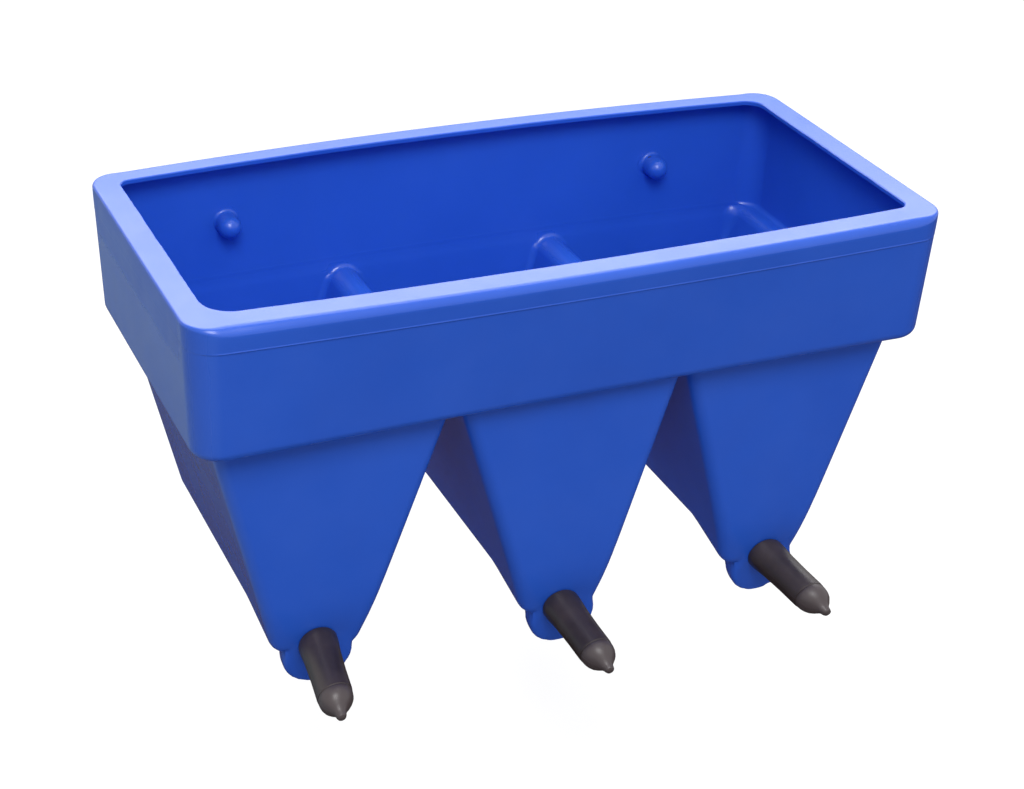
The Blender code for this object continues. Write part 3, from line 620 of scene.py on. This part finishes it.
def turned(profile, steps=TURN_STEPS):
    """A turned surface: the profile of (radius, height) points carried round the z axis."""
    profile = np.asarray(profile, float)
    angle = np.arange(steps) / steps * 2 * math.pi
    x = profile[:, :1] * np.cos(angle)
    y = profile[:, :1] * np.sin(angle)
    return np.stack([x, y, np.broadcast_to(profile[:, 1:], x.shape)], axis=-1)


def ridge_radius(inner, slant):
    """The radius of the round top that touches the ridge's height and its wall, inner from the middle."""
    return (COMPARTMENT_PITCH / 2 - inner) / (math.cos(slant) - COMPARTMENT_TAPER * (1 - math.sin(slant)))


def placed(grid, point, direction):
    """A turned surface moved to a point, with its z axis along the direction and its x axis level."""
    z_axis = np.asarray(direction, float)
    z_axis = z_axis / np.linalg.norm(z_axis)
    x_axis = np.cross([0, 0, 1], z_axis)
    x_axis = x_axis / np.linalg.norm(x_axis)
    return grid @ np.stack([x_axis, np.cross(z_axis, x_axis), z_axis]) + np.asarray(point, float)


def arc(centre_radius, centre_height, radius, start, end, steps):
    """Points on a round corner of a turned profile, by angle from the outward direction."""
    angle = np.linspace(start, end, steps + 1) * DEG
    return list(zip(centre_radius + radius * np.cos(angle), centre_height + radius * np.sin(angle)))


def boss_profile():
    """A blind boss: a dome, a straight barrel, and a foot that flares into the wall."""
    dome = arc(0, BOSS_LENGTH, BOSS_RADIUS, BOSS_POLE_ANGLE, 0, ROUND_STEPS)
    foot_centre = BOSS_RADIUS + BOSS_FOOT_RADIUS
    foot = arc(foot_centre, BOSS_FOOT_RADIUS, BOSS_FOOT_RADIUS, 180, 270, FLARE_STEPS)
    return [(0, BOSS_LENGTH + BOSS_RADIUS)] + dome + foot + [(foot_centre, -WALL / 2), (0, -WALL / 2)]


def plug(radius, above, below):
    """A plain round cutter's profile."""
    return [(0, above), (radius, above), (radius, -below), (0, -below)]


def pad_grid(x_middle):
    """A hanger pad: a rounded rectangle in the back wall's plane, with a rounded outer edge."""
    inner = HALF_WIDTH - BAND_DRAFT - WALL / 2
    angle = np.linspace(0, 90, EDGE_STEPS + 1) * DEG
    depth = np.concatenate([[inner], PAD_FACE - PAD_EDGE_RADIUS * (1 - np.sin(angle))])
    drawn_in = np.concatenate([[0], PAD_EDGE_RADIUS * (1 - np.cos(angle))])
    half = PAD_WIDTH / 2 - drawn_in
    low, high = -BOLT_DEPTH - PAD_BELOW_BOLT + drawn_in, -BOLT_DEPTH + PAD_ABOVE_BOLT - drawn_in
    x, z = rounded_rectangle(x_middle - half, x_middle + half, low, high, (PAD_CORNER_RADIUS - drawn_in,) * 4,
                             4, 4, EDGE_STEPS)
    return np.stack([x, np.broadcast_to(depth[:, None], x.shape), z], axis=-1)


def web_grid(x_middle):
    """The web that closes the gap between two compartments over their tops, under a ridge.

    It is a straight bar from front to back, narrower along its lower edge.
    """
    z = np.array([-BAND_HEIGHT + WALL / 2, RIDGE_TOP - WALL + WEB_EDGE_DEPTH, RIDGE_TOP - WALL])
    half = np.array([WEB_HALF_WIDTH, WEB_HALF_WIDTH, WEB_HALF_WIDTH - WEB_EDGE])
    front = np.full(3, COMPARTMENT_FRONT + WEB_FRONT_INSIDE)
    back = np.full(3, HALF_WIDTH - BAND_DRAFT + WEB_BACK_OUTSIDE)
    x, y = rounded_rectangle(x_middle - half, x_middle + half, front, back, (WEB_EDGE_DEPTH,) * 4, 4, 4, 4)
    return np.stack([x, y, np.broadcast_to(z[:, None], x.shape)], axis=-1)


def ridge_end_grid(x_middle):
    """The round fillet where a ridge runs into the back wall: a collar that widens on to the wall.

    It is a turned piece round the ridge's rounding, cut off flat below, and its base follows the wall.
    """
    slant = math.atan(COMPARTMENT_TAPER)
    inner = compartments[1].half_width(RIDGE_TOP) - WALL / math.cos(slant) - RIDGE_THICKER
    core = ridge_radius(inner, slant) - COLLAR_INSIDE_RIDGE
    reach = COLLAR_FILLET
    fillet = arc(core + reach, reach, reach, 180, 269, ROUND_STEPS)
    tail = [(0, reach + COLLAR_TAIL), (core, reach + COLLAR_TAIL)]
    grid = turned(tail + fillet + [(core + reach, -COLLAR_SUNK), (0, -COLLAR_SUNK)])
    grid[..., 1] = np.maximum(grid[..., 1], -COLLAR_SHARE_BELOW * core)
    x = x_middle + grid[..., 0]
    z = RIDGE_TOP - core - COLLAR_INSIDE_RIDGE + grid[..., 1]
    wall = compartments[1].inner_back(z)
    return np.stack([x, wall + back_bulge(x, z) - grid[..., 2], z], axis=-1)


def opening_grid():
    """The cutter for the rim's opening, which follows the bulging walls.

    The opening was routed by hand, so its edge wanders by some tenths of a millimetre, in sine waves
    round it, with a fine chatter at the left end. The cutter widens at the rim's upper and lower face,
    which rounds both edges over.
    """
    ease = OPENING_EASE
    angle = np.linspace(0, 90, 5) * DEG
    rise = np.concatenate([[-WALL - CUT_OVERLAP, -WALL - LEAST_GAP], -WALL + ease * np.sin(angle[1:]),
                           [-WALL / 2], -ease * np.sin(angle[:0:-1]), [LEAST_GAP, CUT_OVERLAP]])
    rounding = ease * (1 - np.sin(angle[1:]))
    widen = np.concatenate([[ease, ease], rounding, [0], rounding[::-1], [ease, ease]])
    left = -HALF_LENGTH + RIM_AT_ENDS - widen
    front = -HALF_WIDTH + RIM_AT_FRONT - widen
    back = HALF_WIDTH - RIM_AT_BACK + widen
    radii = tuple(radius + widen for radius in OPENING_RADII)
    x, y = rounded_rectangle(left, -left, front, back, radii, OPENING_LONG_STEPS, OPENING_SIDE_STEPS,
                             CORNER_STEPS)
    top = np.zeros_like(x)
    y = y + np.where(y > 0, back_bulge(x, top) * y / back[:, None], -front_bulge(x, top) * y / front[:, None])
    around = np.arctan2(y / HALF_WIDTH, x / HALF_LENGTH)
    chatter = LEFT_CHATTER * np.sin(LEFT_CHATTER_COUNT * around + 2 * np.sin(LEFT_CHATTER_DRIFT * around))
    wander = chatter * smooth_step(0.2, 1.0, -x / HALF_LENGTH)
    for amount, count, phase in OPENING_WANDER:
        wander += amount * np.sin(count * around + phase)
    x = x + wander * np.sign(x) * smooth_step(0.8, 0.95, np.abs(x) / HALF_LENGTH)
    y = y + wander * np.sign(y) * smooth_step(0.55, 0.85, np.abs(y) / HALF_WIDTH)
    return np.stack([x, y, np.broadcast_to(rise[:, None], x.shape)], axis=-1)


def boolean(target, operand, operation):
    """Joins the operand to the target, or cuts it out, and removes the operand."""
    modifier = target.modifiers.new(operation, "BOOLEAN")
    modifier.operation = operation
    modifier.solver = "MANIFOLD"
    modifier.object = operand
    bpy.context.view_layer.update()
    result = bpy.data.meshes.new_from_object(target.evaluated_get(bpy.context.evaluated_depsgraph_get()))
    target.modifiers.clear()
    target.data = result
    bpy.data.objects.remove(operand, do_unlink=True)


def mark_inside(tub):
    """Stores on each point of the tub whether it lies on the duller inside, clear of the outer surface."""
    flat = np.empty(len(tub.data.vertices) * 3)
    tub.data.vertices.foreach_get("co", flat)
    points = (flat.reshape(-1, 3) - TROUGH_ORIGIN) / MM
    x, y, z = points.T
    edge = HALF_WIDTH - draft_at(z)
    flat_y = y / (1 + np.where(y > 0, back_bulge(x, z), front_bulge(x, z)) / edge)
    band = np.maximum(np.abs(x) - HALF_LENGTH + draft_at(z), np.abs(flat_y) - edge)
    band = np.maximum(band, -BAND_HEIGHT - z)
    depth = np.minimum.reduce([band] + [compartment.distance(points) for compartment in compartments])
    inside = smooth_step(*INSIDE_DEPTHS, depth) * smooth_step(*INSIDE_BELOW_RIM, z)
    tub.data.attributes.new("inside", "FLOAT", "POINT").data.foreach_set("value", inside.astype(np.float32))


def finish_shading(item):
    """Smooth shading with true edges kept sharp and the flat faces kept flat."""
    item.data.shade_smooth()
    item.data.set_sharp_from_angle(angle=SHARP_ANGLE)
    item.modifiers.new("Even shading", "WEIGHTED_NORMAL").keep_sharp = True


compartments = [Compartment(index) for index in range(3)]


def build_tub():
    """The moulded trough: the outside joined, the hollows cut, and then bosses, pockets and openings."""
    tub = surface_mesh("trough_moulding", band_grid(0))
    for compartment in compartments:
        boolean(tub, surface_mesh("body", compartment.grid(0), caps=(True, False)), "UNION")
    for _, sign in SIDES:
        boolean(tub, surface_mesh("web", web_grid(sign * COMPARTMENT_PITCH / 2)), "UNION")
        boolean(tub, surface_mesh("pad", pad_grid(sign * HANGER_SPACING / 2)), "UNION")
    boolean(tub, surface_mesh("band_hollow", band_grid(WALL)), "DIFFERENCE")
    for compartment in compartments:
        boolean(tub, surface_mesh("hollow", compartment.grid(WALL), caps=(True, False)), "DIFFERENCE")
    for _, sign in SIDES:
        middle = sign * COMPARTMENT_PITCH / 2 + RIDGE_SHIFT
        collar = surface_mesh("ridge_end", ridge_end_grid(middle), poles=(True, True))
        boolean(tub, collar, "UNION")
    for side, sign in SIDES:
        x = sign * HANGER_SPACING / 2
        wall = np.array([x, pad_wall - WALL, -BOLT_DEPTH]) + np.array(BOSS_SHIFTS[side])
        boss = placed(turned(boss_profile()), wall, (0, -1, 0))
        boolean(tub, surface_mesh("boss", boss, poles=(True, True)), "UNION")
        pocket = turned(plug(INSERT_RADIUS + SEAT_GAP, CUT_OVERLAP, INSERT_LENGTH + SEAT_GAP))
        pocket = placed(pocket, (x, PAD_FACE, -BOLT_DEPTH), (0, 1, 0))
        boolean(tub, surface_mesh("pocket", pocket, poles=(True, True)), "DIFFERENCE")
    boolean(tub, surface_mesh("opening", opening_grid()), "DIFFERENCE")
    for compartment in compartments:
        hole = turned(plug(TEAT_NECK_RADIUS + SEAT_GAP, CUT_OVERLAP, WALL + CUT_OVERLAP))
        hole = placed(hole, compartment.hole, compartment.out)
        boolean(tub, surface_mesh("hole", hole, poles=(True, True)), "DIFFERENCE")
    mark_inside(tub)
    finish_shading(tub)
    return tub


def teat_profile():
    """The teat's section, from its nib down the outside, round the neck and flange and up the bore.

    The nib and the dome are pairs of radius and distance from the tip, with the crease at the dome's end.
    """
    nib = [(0, 0), (2.2, 0.3), (3.9, 1.3), (4.7, 3), (5.1, 5), (6.2, 7.3), (8.4, 9.9), (11.2, 12.8)]
    dome = [(13.7, 16), (15.2, 19.4), (15.9, 22.6), (16.1, 25.2), (16, 26.5), (15.8, 27), (16.4, 27.6)]
    tip = [(radius, TEAT_LENGTH - back) for radius, back in nib + dome]
    barrel = [(TEAT_BARREL_RADIUS, TEAT_LENGTH - 30), (TEAT_BARREL_RADIUS, 44),
              (TEAT_BARREL_RADIUS + 0.6, 22), (TEAT_BASE_RADIUS, 8), (TEAT_BASE_RADIUS, 2),
              (TEAT_BASE_RADIUS - 0.8, SEAT_GAP)]
    neck = [(TEAT_NECK_RADIUS, SEAT_GAP), (TEAT_NECK_RADIUS, -WALL - SEAT_GAP)]
    flange = [(TEAT_FLANGE_RADIUS, -WALL - SEAT_GAP),
              (TEAT_FLANGE_RADIUS, -WALL - SEAT_GAP - TEAT_FLANGE_THICKNESS)]
    bore = [(TEAT_BORE_RADIUS, flange[-1][1]), (TEAT_BORE_RADIUS, TEAT_BORE_DEPTH),
            (TEAT_BORE_END_RADIUS, TEAT_BORE_DEPTH + TEAT_BORE_END), (0, TEAT_BORE_DEPTH + TEAT_BORE_END)]
    return tip + barrel + neck + flange + bore


def build_teat(compartment):
    """A rubber teat: a turned surface with a mould seam down both sides, leaning a little to one side.

    The seam is a bell curve of the angle that widens the radius. The attribute on the dome is one there and
    nought below it: it marks a painted highlight, a lighter dome that stands in for light falling on the
    rubber.
    and nought below it.
    """
    grid = turned(teat_profile(), TEAT_TURN_STEPS)
    angle = np.arctan2(grid[..., 1], grid[..., 0])
    height = grid[..., 2]
    seam = TEAT_SEAM * np.exp(-(np.sin(angle) / TEAT_SEAM_WIDTH) ** 2) * smooth_step(3, 8, height)
    radius = np.hypot(grid[..., 0], grid[..., 1])
    seam = seam * smooth_step(4, 9, radius)
    grid[..., :2] *= (1 + seam / np.maximum(radius, 1))[..., None]
    grid[..., 0] += np.maximum(height - SEAT_GAP, 0) * math.tan(compartment.teat_lean)
    item = surface_mesh("rubber_teat_" + compartment.name, placed(grid, compartment.hole, compartment.out),
                        poles=(True, True))
    flat = np.empty(len(item.data.vertices) * 3)
    item.data.vertices.foreach_get("co", flat)
    out = ((flat.reshape(-1, 3) - TROUGH_ORIGIN) / MM - compartment.hole) @ compartment.out
    # Painted highlight: one on the dome and nought below it, so the rubber turns a lighter grey there in
    # place of light falling on it.
    painted_highlight = smooth_step(TEAT_LENGTH - TEAT_PAINTED_HIGHLIGHT_FROM, TEAT_LENGTH - TEAT_PAINTED_HIGHLIGHT_TO, out)
    item.data.attributes.new("painted_highlight", "FLOAT", "POINT").data.foreach_set("value", painted_highlight.astype(np.float32))
    finish_shading(item)
    return item


# The sockets that a Mix node uses for colours.
MIX_FIRST = 6
MIX_SECOND = 7
MIX_RESULT = 2


def linear(hex_colour):
    """An sRGB hex colour as linear RGBA."""
    parts = [int(hex_colour[index:index + 2], 16) / 255 for index in (1, 3, 5)]
    return tuple(c / 12.92 if c <= 0.04045 else ((c + 0.055) / 1.055) ** 2.4 for c in parts) + (1.0,)


def add_node(tree, kind, settings=None, **links):
    """Adds a node, sets its properties and sockets from settings, and links its inputs by name."""
    node = tree.nodes.new(kind)
    for key, value in (settings or {}).items():
        if key in node.inputs.keys():
            node.inputs[key].default_value = value
        else:
            setattr(node, key, value)
    for key, source in links.items():
        tree.links.new(source, node.inputs[key.replace("_", " ")])
    return node


def new_material(name, **sockets):
    """A material with a principled shader, whose uniform values are set on its own sockets."""
    material = bpy.data.materials.new(name)
    material.use_nodes = True
    shader = material.node_tree.nodes["Principled BSDF"]
    for key, value in sockets.items():
        shader.inputs[key.replace("_", " ")].default_value = value
    return material, material.node_tree, shader


def polyethylene_material():
    """Rotomoulded polyethylene: through-coloured, softly glossy, with faint waves and dull patches.

    It gives the eye a clear blue with a soft sheen, duller inside, where the mould doesn't polish it. The
    sizes in the patterns' scales are metres: clouds, scuffs, orange peel and the long waves of the wall.
    """
    material, tree, shader = new_material("rotomoulded_polyethylene", IOR=1.51)
    place = add_node(tree, "ShaderNodeTexCoord").outputs["Object"]
    cloud = add_node(tree, "ShaderNodeTexNoise", {"Scale": 1 / 0.111, "Detail": 4.0, "Roughness": 0.55},
                     Vector=place)
    colour = add_node(tree, "ShaderNodeValToRGB", Fac=cloud.outputs["Fac"])
    for stop, position, tone in zip(colour.color_ramp.elements, (0.3, 0.7), ("#2356C6", "#285BCC")):
        stop.position, stop.color = position, linear(tone)
    tree.links.new(colour.outputs["Color"], shader.inputs["Base Color"])
    scuff = add_node(tree, "ShaderNodeTexNoise", {"Scale": 1 / 0.04, "Detail": 3.0, "Roughness": 0.5},
                     Vector=place)
    rough = add_node(tree, "ShaderNodeMapRange",
                     {"From Min": 0.3, "From Max": 0.7, "To Min": 0.2, "To Max": 0.27},
                     Value=scuff.outputs["Fac"])
    inside = add_node(tree, "ShaderNodeAttribute", {"attribute_name": "inside"})
    duller = add_node(tree, "ShaderNodeMath", {"operation": "MULTIPLY_ADD"})
    tree.links.new(inside.outputs["Fac"], duller.inputs[0])
    duller.inputs[1].default_value = 0.08
    tree.links.new(rough.outputs["Result"], duller.inputs[2])
    tree.links.new(duller.outputs[0], shader.inputs["Roughness"])
    normal = None
    for size, depth in ((0.012, 0.00002), (0.11, 0.0007)):
        wave = add_node(tree, "ShaderNodeTexNoise", {"Scale": 1 / size, "Detail": 1.0, "Roughness": 0.4},
                        Vector=place)
        bump = add_node(tree, "ShaderNodeBump", {"Strength": 1.0, "Distance": depth},
                        Height=wave.outputs["Fac"])
        if normal is not None:
            tree.links.new(normal, bump.inputs["Normal"])
        normal = bump.outputs["Normal"]
    tree.links.new(normal, shader.inputs["Normal"])
    return material


def rubber_material():
    """Moulded natural rubber: brown-black and matt, with a dull bloom in patches 22 mm wide.

    It gives the eye a soft, broad highlight, and a greyer dome that is a painted highlight, standing in for
    light on the dome. Its grain is 1.2 mm.
    """
    material, tree, shader = new_material("moulded_rubber", IOR=1.52)
    place = add_node(tree, "ShaderNodeTexCoord").outputs["Object"]
    bloom = add_node(tree, "ShaderNodeTexNoise", {"Scale": 1 / 0.0222, "Detail": 5.0, "Roughness": 0.6},
                     Vector=place)
    colour = add_node(tree, "ShaderNodeValToRGB", Fac=bloom.outputs["Fac"])
    for stop, position, tone in zip(colour.color_ramp.elements, (0.35, 0.7), ("#2C2426", "#3A3032")):
        stop.position, stop.color = position, linear(tone)
    # Painted highlight: the dome is mixed to a lighter grey, standing in for light falling on it.
    painted_highlight = add_node(tree, "ShaderNodeAttribute", {"attribute_name": "painted_highlight"})
    painted_highlight_mix = add_node(tree, "ShaderNodeMix", {"data_type": "RGBA", "blend_type": "MIX"})
    tree.links.new(painted_highlight.outputs["Fac"], painted_highlight_mix.inputs["Factor"])
    tree.links.new(colour.outputs["Color"], painted_highlight_mix.inputs[MIX_FIRST])
    painted_highlight_mix.inputs[MIX_SECOND].default_value = linear("#4A4143")
    tree.links.new(painted_highlight_mix.outputs[MIX_RESULT], shader.inputs["Base Color"])
    rough = add_node(tree, "ShaderNodeMapRange",
                     {"From Min": 0.3, "From Max": 0.7, "To Min": 0.36, "To Max": 0.46},
                     Value=bloom.outputs["Fac"])
    tree.links.new(rough.outputs["Result"], shader.inputs["Roughness"])
    grain = add_node(tree, "ShaderNodeTexNoise", {"Scale": 1 / 0.0012, "Detail": 3.0}, Vector=place)
    bump = add_node(tree, "ShaderNodeBump", {"Strength": 1.0, "Distance": 0.00003},
                    Height=grain.outputs["Fac"])
    tree.links.new(bump.outputs["Normal"], shader.inputs["Normal"])
    return material


def galvanised_material():
    """Hot-dip galvanised steel: dull grey zinc whose crystals, 7 mm wide, differ in tone and shine."""
    material, tree, shader = new_material("hot_dip_galvanised_steel", Metallic=1.0)
    place = add_node(tree, "ShaderNodeTexCoord").outputs["Object"]
    spangle = add_node(tree, "ShaderNodeTexVoronoi", {"Scale": 1 / 0.007, "feature": "F1"}, Vector=place)
    crystal = add_node(tree, "ShaderNodeSeparateColor", Color=spangle.outputs["Color"]).outputs["Red"]
    shade = add_node(tree, "ShaderNodeValToRGB", Fac=crystal)
    for stop, tone in zip(shade.color_ramp.elements, ("#A9ADB0", "#C9CDCF")):
        stop.color = linear(tone)
    tree.links.new(shade.outputs["Color"], shader.inputs["Base Color"])
    rough = add_node(tree, "ShaderNodeMapRange", {"To Min": 0.34, "To Max": 0.55}, Value=crystal)
    tree.links.new(rough.outputs["Result"], shader.inputs["Roughness"])
    bump = add_node(tree, "ShaderNodeBump", {"Strength": 0.4, "Distance": 0.00008},
                    Height=spangle.outputs["Distance"])
    tree.links.new(bump.outputs["Normal"], shader.inputs["Normal"])
    return material


def mottled_metal(name, size, detail, tones, polish):
    """A metal whose tone and roughness both follow one noise pattern, of a size in metres."""
    material, tree, shader = new_material(name, Metallic=1.0)
    place = add_node(tree, "ShaderNodeTexCoord").outputs["Object"]
    cloud = add_node(tree, "ShaderNodeTexNoise", {"Scale": 1 / size, "Detail": detail}, Vector=place)
    colour = add_node(tree, "ShaderNodeValToRGB", Fac=cloud.outputs["Fac"])
    for stop, tone in zip(colour.color_ramp.elements, tones):
        stop.color = linear(tone)
    tree.links.new(colour.outputs["Color"], shader.inputs["Base Color"])
    rough = add_node(tree, "ShaderNodeMapRange", {"To Min": polish[0], "To Max": polish[1]},
                     Value=cloud.outputs["Fac"])
    tree.links.new(rough.outputs["Result"], shader.inputs["Roughness"])
    return material


def zinc_material():
    """Bright zinc plating: pale and a little blue, with brighter and duller patches 3 mm wide."""
    return mottled_metal("bright_zinc_plating", 0.00333, 4.0, ("#B4B9C2", "#D4D8DE"), (0.2, 0.38))


def brass_material():
    """Turned free-cutting brass: yellow, with patches 2 mm wide that differ in tone and polish."""
    return mottled_metal("turned_brass", 0.002, 3.0, ("#C9A24E", "#E0BE6C"), (0.22, 0.4))


def seen_colour(tree, plain, shown):
    """Plain, except where the camera, a reflection or a view through glass sees it directly: then shown."""
    path = add_node(tree, "ShaderNodeLightPath")
    seen = add_node(tree, "ShaderNodeMath", {"operation": "MAXIMUM"})
    tree.links.new(path.outputs["Is Camera Ray"], seen.inputs[0])
    tree.links.new(path.outputs["Is Glossy Ray"], seen.inputs[1])
    through = add_node(tree, "ShaderNodeMath", {"operation": "MAXIMUM"})
    tree.links.new(seen.outputs[0], through.inputs[0])
    tree.links.new(path.outputs["Is Transmission Ray"], through.inputs[1])
    mix = add_node(tree, "ShaderNodeMixShader", Fac=through.outputs[0])
    tree.links.new(plain, mix.inputs[1])
    tree.links.new(shown, mix.inputs[2])
    return mix.outputs[0]


def build_plane(name, reach, height, material):
    """A flat square stage plane round the origin, in metres."""
    corners = [(x * reach, y * reach, height) for x, y in ((-1, -1), (1, -1), (1, 1), (-1, 1))]
    mesh = bpy.data.meshes.new(name)
    mesh.from_pydata(corners, [], [(0, 1, 2, 3)])
    mesh.materials.append(material)
    plane = bpy.data.objects.new(name, mesh)
    bpy.context.scene.collection.objects.link(plane)
    return plane


def build_floor():
    """A pale floor that shows as white with the object's soft shadow, and the ground in reflections.

    The undersides mirror dull ground, so reflections meet a plane just over the floor, which neither the
    camera nor the light sees. It is grey lit ground at the left. Elsewhere it is a dark brown that is painted
    shadow: the object's shadow on the ground, painted into the plane's colour.
    """
    low = float(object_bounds()[0][2]) - FLOOR_DROP
    material, tree, shader = new_material("studio_paper", Roughness=0.9)
    shader.inputs["Base Color"].default_value = linear("#A8A8A8")
    white = add_node(tree, "ShaderNodeEmission", {"Color": (1, 1, 1, 1), "Strength": PAPER_GLOW})
    paper = add_node(tree, "ShaderNodeBsdfDiffuse", {"Color": (PAPER_SHADE,) * 3 + (1,)})
    shown = add_node(tree, "ShaderNodeAddShader")
    tree.links.new(white.outputs[0], shown.inputs[0])
    tree.links.new(paper.outputs[0], shown.inputs[1])
    output = tree.nodes["Material Output"]
    tree.links.new(seen_colour(tree, shader.outputs[0], shown.outputs[0]), output.inputs["Surface"])
    build_plane("studio_floor", FLOOR_REACH, low, material)

    ground, tree, shader = new_material("ground_with_painted_shadow", Roughness=1.0)
    place = add_node(tree, "ShaderNodeTexCoord").outputs["Object"]
    across = add_node(tree, "ShaderNodeSeparateXYZ", Vector=place).outputs["X"]
    share = add_node(tree, "ShaderNodeMapRange",
                     {"From Min": GROUND_PAINTED_SHADOW_FROM, "From Max": GROUND_PAINTED_SHADOW_TO}, Value=across)
    colour = add_node(tree, "ShaderNodeValToRGB", Fac=share.outputs["Result"])
    # Grey lit ground at the left; the dark brown to the right is painted shadow of the object on the ground.
    for stop, tone in zip(colour.color_ramp.elements, ("#7F9198", "#382923")):
        stop.color = linear(tone)
    tree.links.new(colour.outputs["Color"], shader.inputs["Base Color"])
    card = build_plane("mirrored_ground_with_painted_shadow", GROUND_REACH, low + GROUND_RISE, ground)
    card.visible_camera = False
    card.visible_diffuse = False
    card.visible_shadow = False


def build_light():
    """A soft sky, brighter above than below, a key lamp at the front left, and a sky behind and above.

    The lamp behind stands where the rim's flat top mirrors it, which gives the rim its pale lilac.
    """
    world = bpy.data.worlds.new("studio")
    bpy.context.scene.world = world
    world.use_nodes = True
    tree = world.node_tree
    plain = tree.nodes["Background"]
    plain.inputs["Strength"].default_value = 1.0
    direction = add_node(tree, "ShaderNodeTexCoord").outputs["Generated"]
    toward = add_node(tree, "ShaderNodeVectorMath", {"operation": "DOT_PRODUCT"})
    tree.links.new(direction, toward.inputs[0])
    toward.inputs[1].default_value = SKY_TOWARD
    sky = add_node(tree, "ShaderNodeMapRange", {"From Min": SKY_FROM, "From Max": SKY_TO,
                                                "To Min": SKY_DARKEST, "To Max": SKY_BRIGHTEST},
                   Value=toward.outputs["Value"])
    tree.links.new(sky.outputs["Result"], plain.inputs["Color"])
    shown = add_node(tree, "ShaderNodeBackground", {"Color": (1, 1, 1, 1), "Strength": 1.0})
    output = tree.nodes["World Output"]
    tree.links.new(seen_colour(tree, plain.outputs[0], shown.outputs[0]), output.inputs["Surface"])
    for name, place, (width, height), power in LAMPS:
        lamp = bpy.data.lights.new(name, "AREA")
        lamp.shape = "RECTANGLE"
        lamp.size, lamp.size_y = width, height
        lamp.energy = power
        item = bpy.data.objects.new(name, lamp)
        bpy.context.scene.collection.objects.link(item)
        item.location = place
        aim = Vector(LAMP_AIM) - Vector(place)
        item.rotation_euler = aim.to_track_quat("-Z", "Y").to_euler()


def build_camera():
    """The photograph's viewpoint, fitted to the rim, the band and the bosses."""
    right, up = Vector(CAMERA_RIGHT), Vector(CAMERA_UP)
    data = bpy.data.cameras.new("camera")
    data.sensor_width = SENSOR_WIDTH
    data.sensor_fit = "HORIZONTAL"
    data.lens = FOCAL_PIXELS / PICTURE_PIXELS * SENSOR_WIDTH
    data.clip_end = VIEW_END
    camera = bpy.data.objects.new("camera", data)
    bpy.context.scene.collection.objects.link(camera)
    matrix = Matrix((right, up, right.cross(up))).transposed().to_4x4()
    matrix.translation = Vector(to_world(CAMERA_PLACE))
    camera.matrix_world = matrix
    bpy.context.scene.camera = camera


def main():
    """Builds every piece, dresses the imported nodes, and sets the stage."""
    plastic = polyethylene_material()
    rubber = rubber_material()
    steel = galvanised_material()
    zinc = zinc_material()
    brass = brass_material()

    tub = build_tub()
    tub.data.materials.clear()
    tub.data.materials.append(plastic)
    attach(tub, "trough")
    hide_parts("tub_shell")
    for compartment in compartments:
        teat = build_teat(compartment)
        teat.data.materials.append(rubber)
        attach(teat, "trough")
        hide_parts("teat_" + compartment.name)
    for node, material in (("insert", brass), ("hanger", steel), ("hanger_bolt", zinc), ("flat_washer", zinc),
                           ("spring_washer", zinc)):
        for side, _ in SIDES:
            item = frame["nodes"][node + "_" + side]
            item.data.materials.clear()
            item.data.materials.append(material)
    build_floor()
    build_light()
    build_camera()
    bpy.context.scene.view_settings.view_transform = "Standard"


main()
bpy.context.view_layer.update()
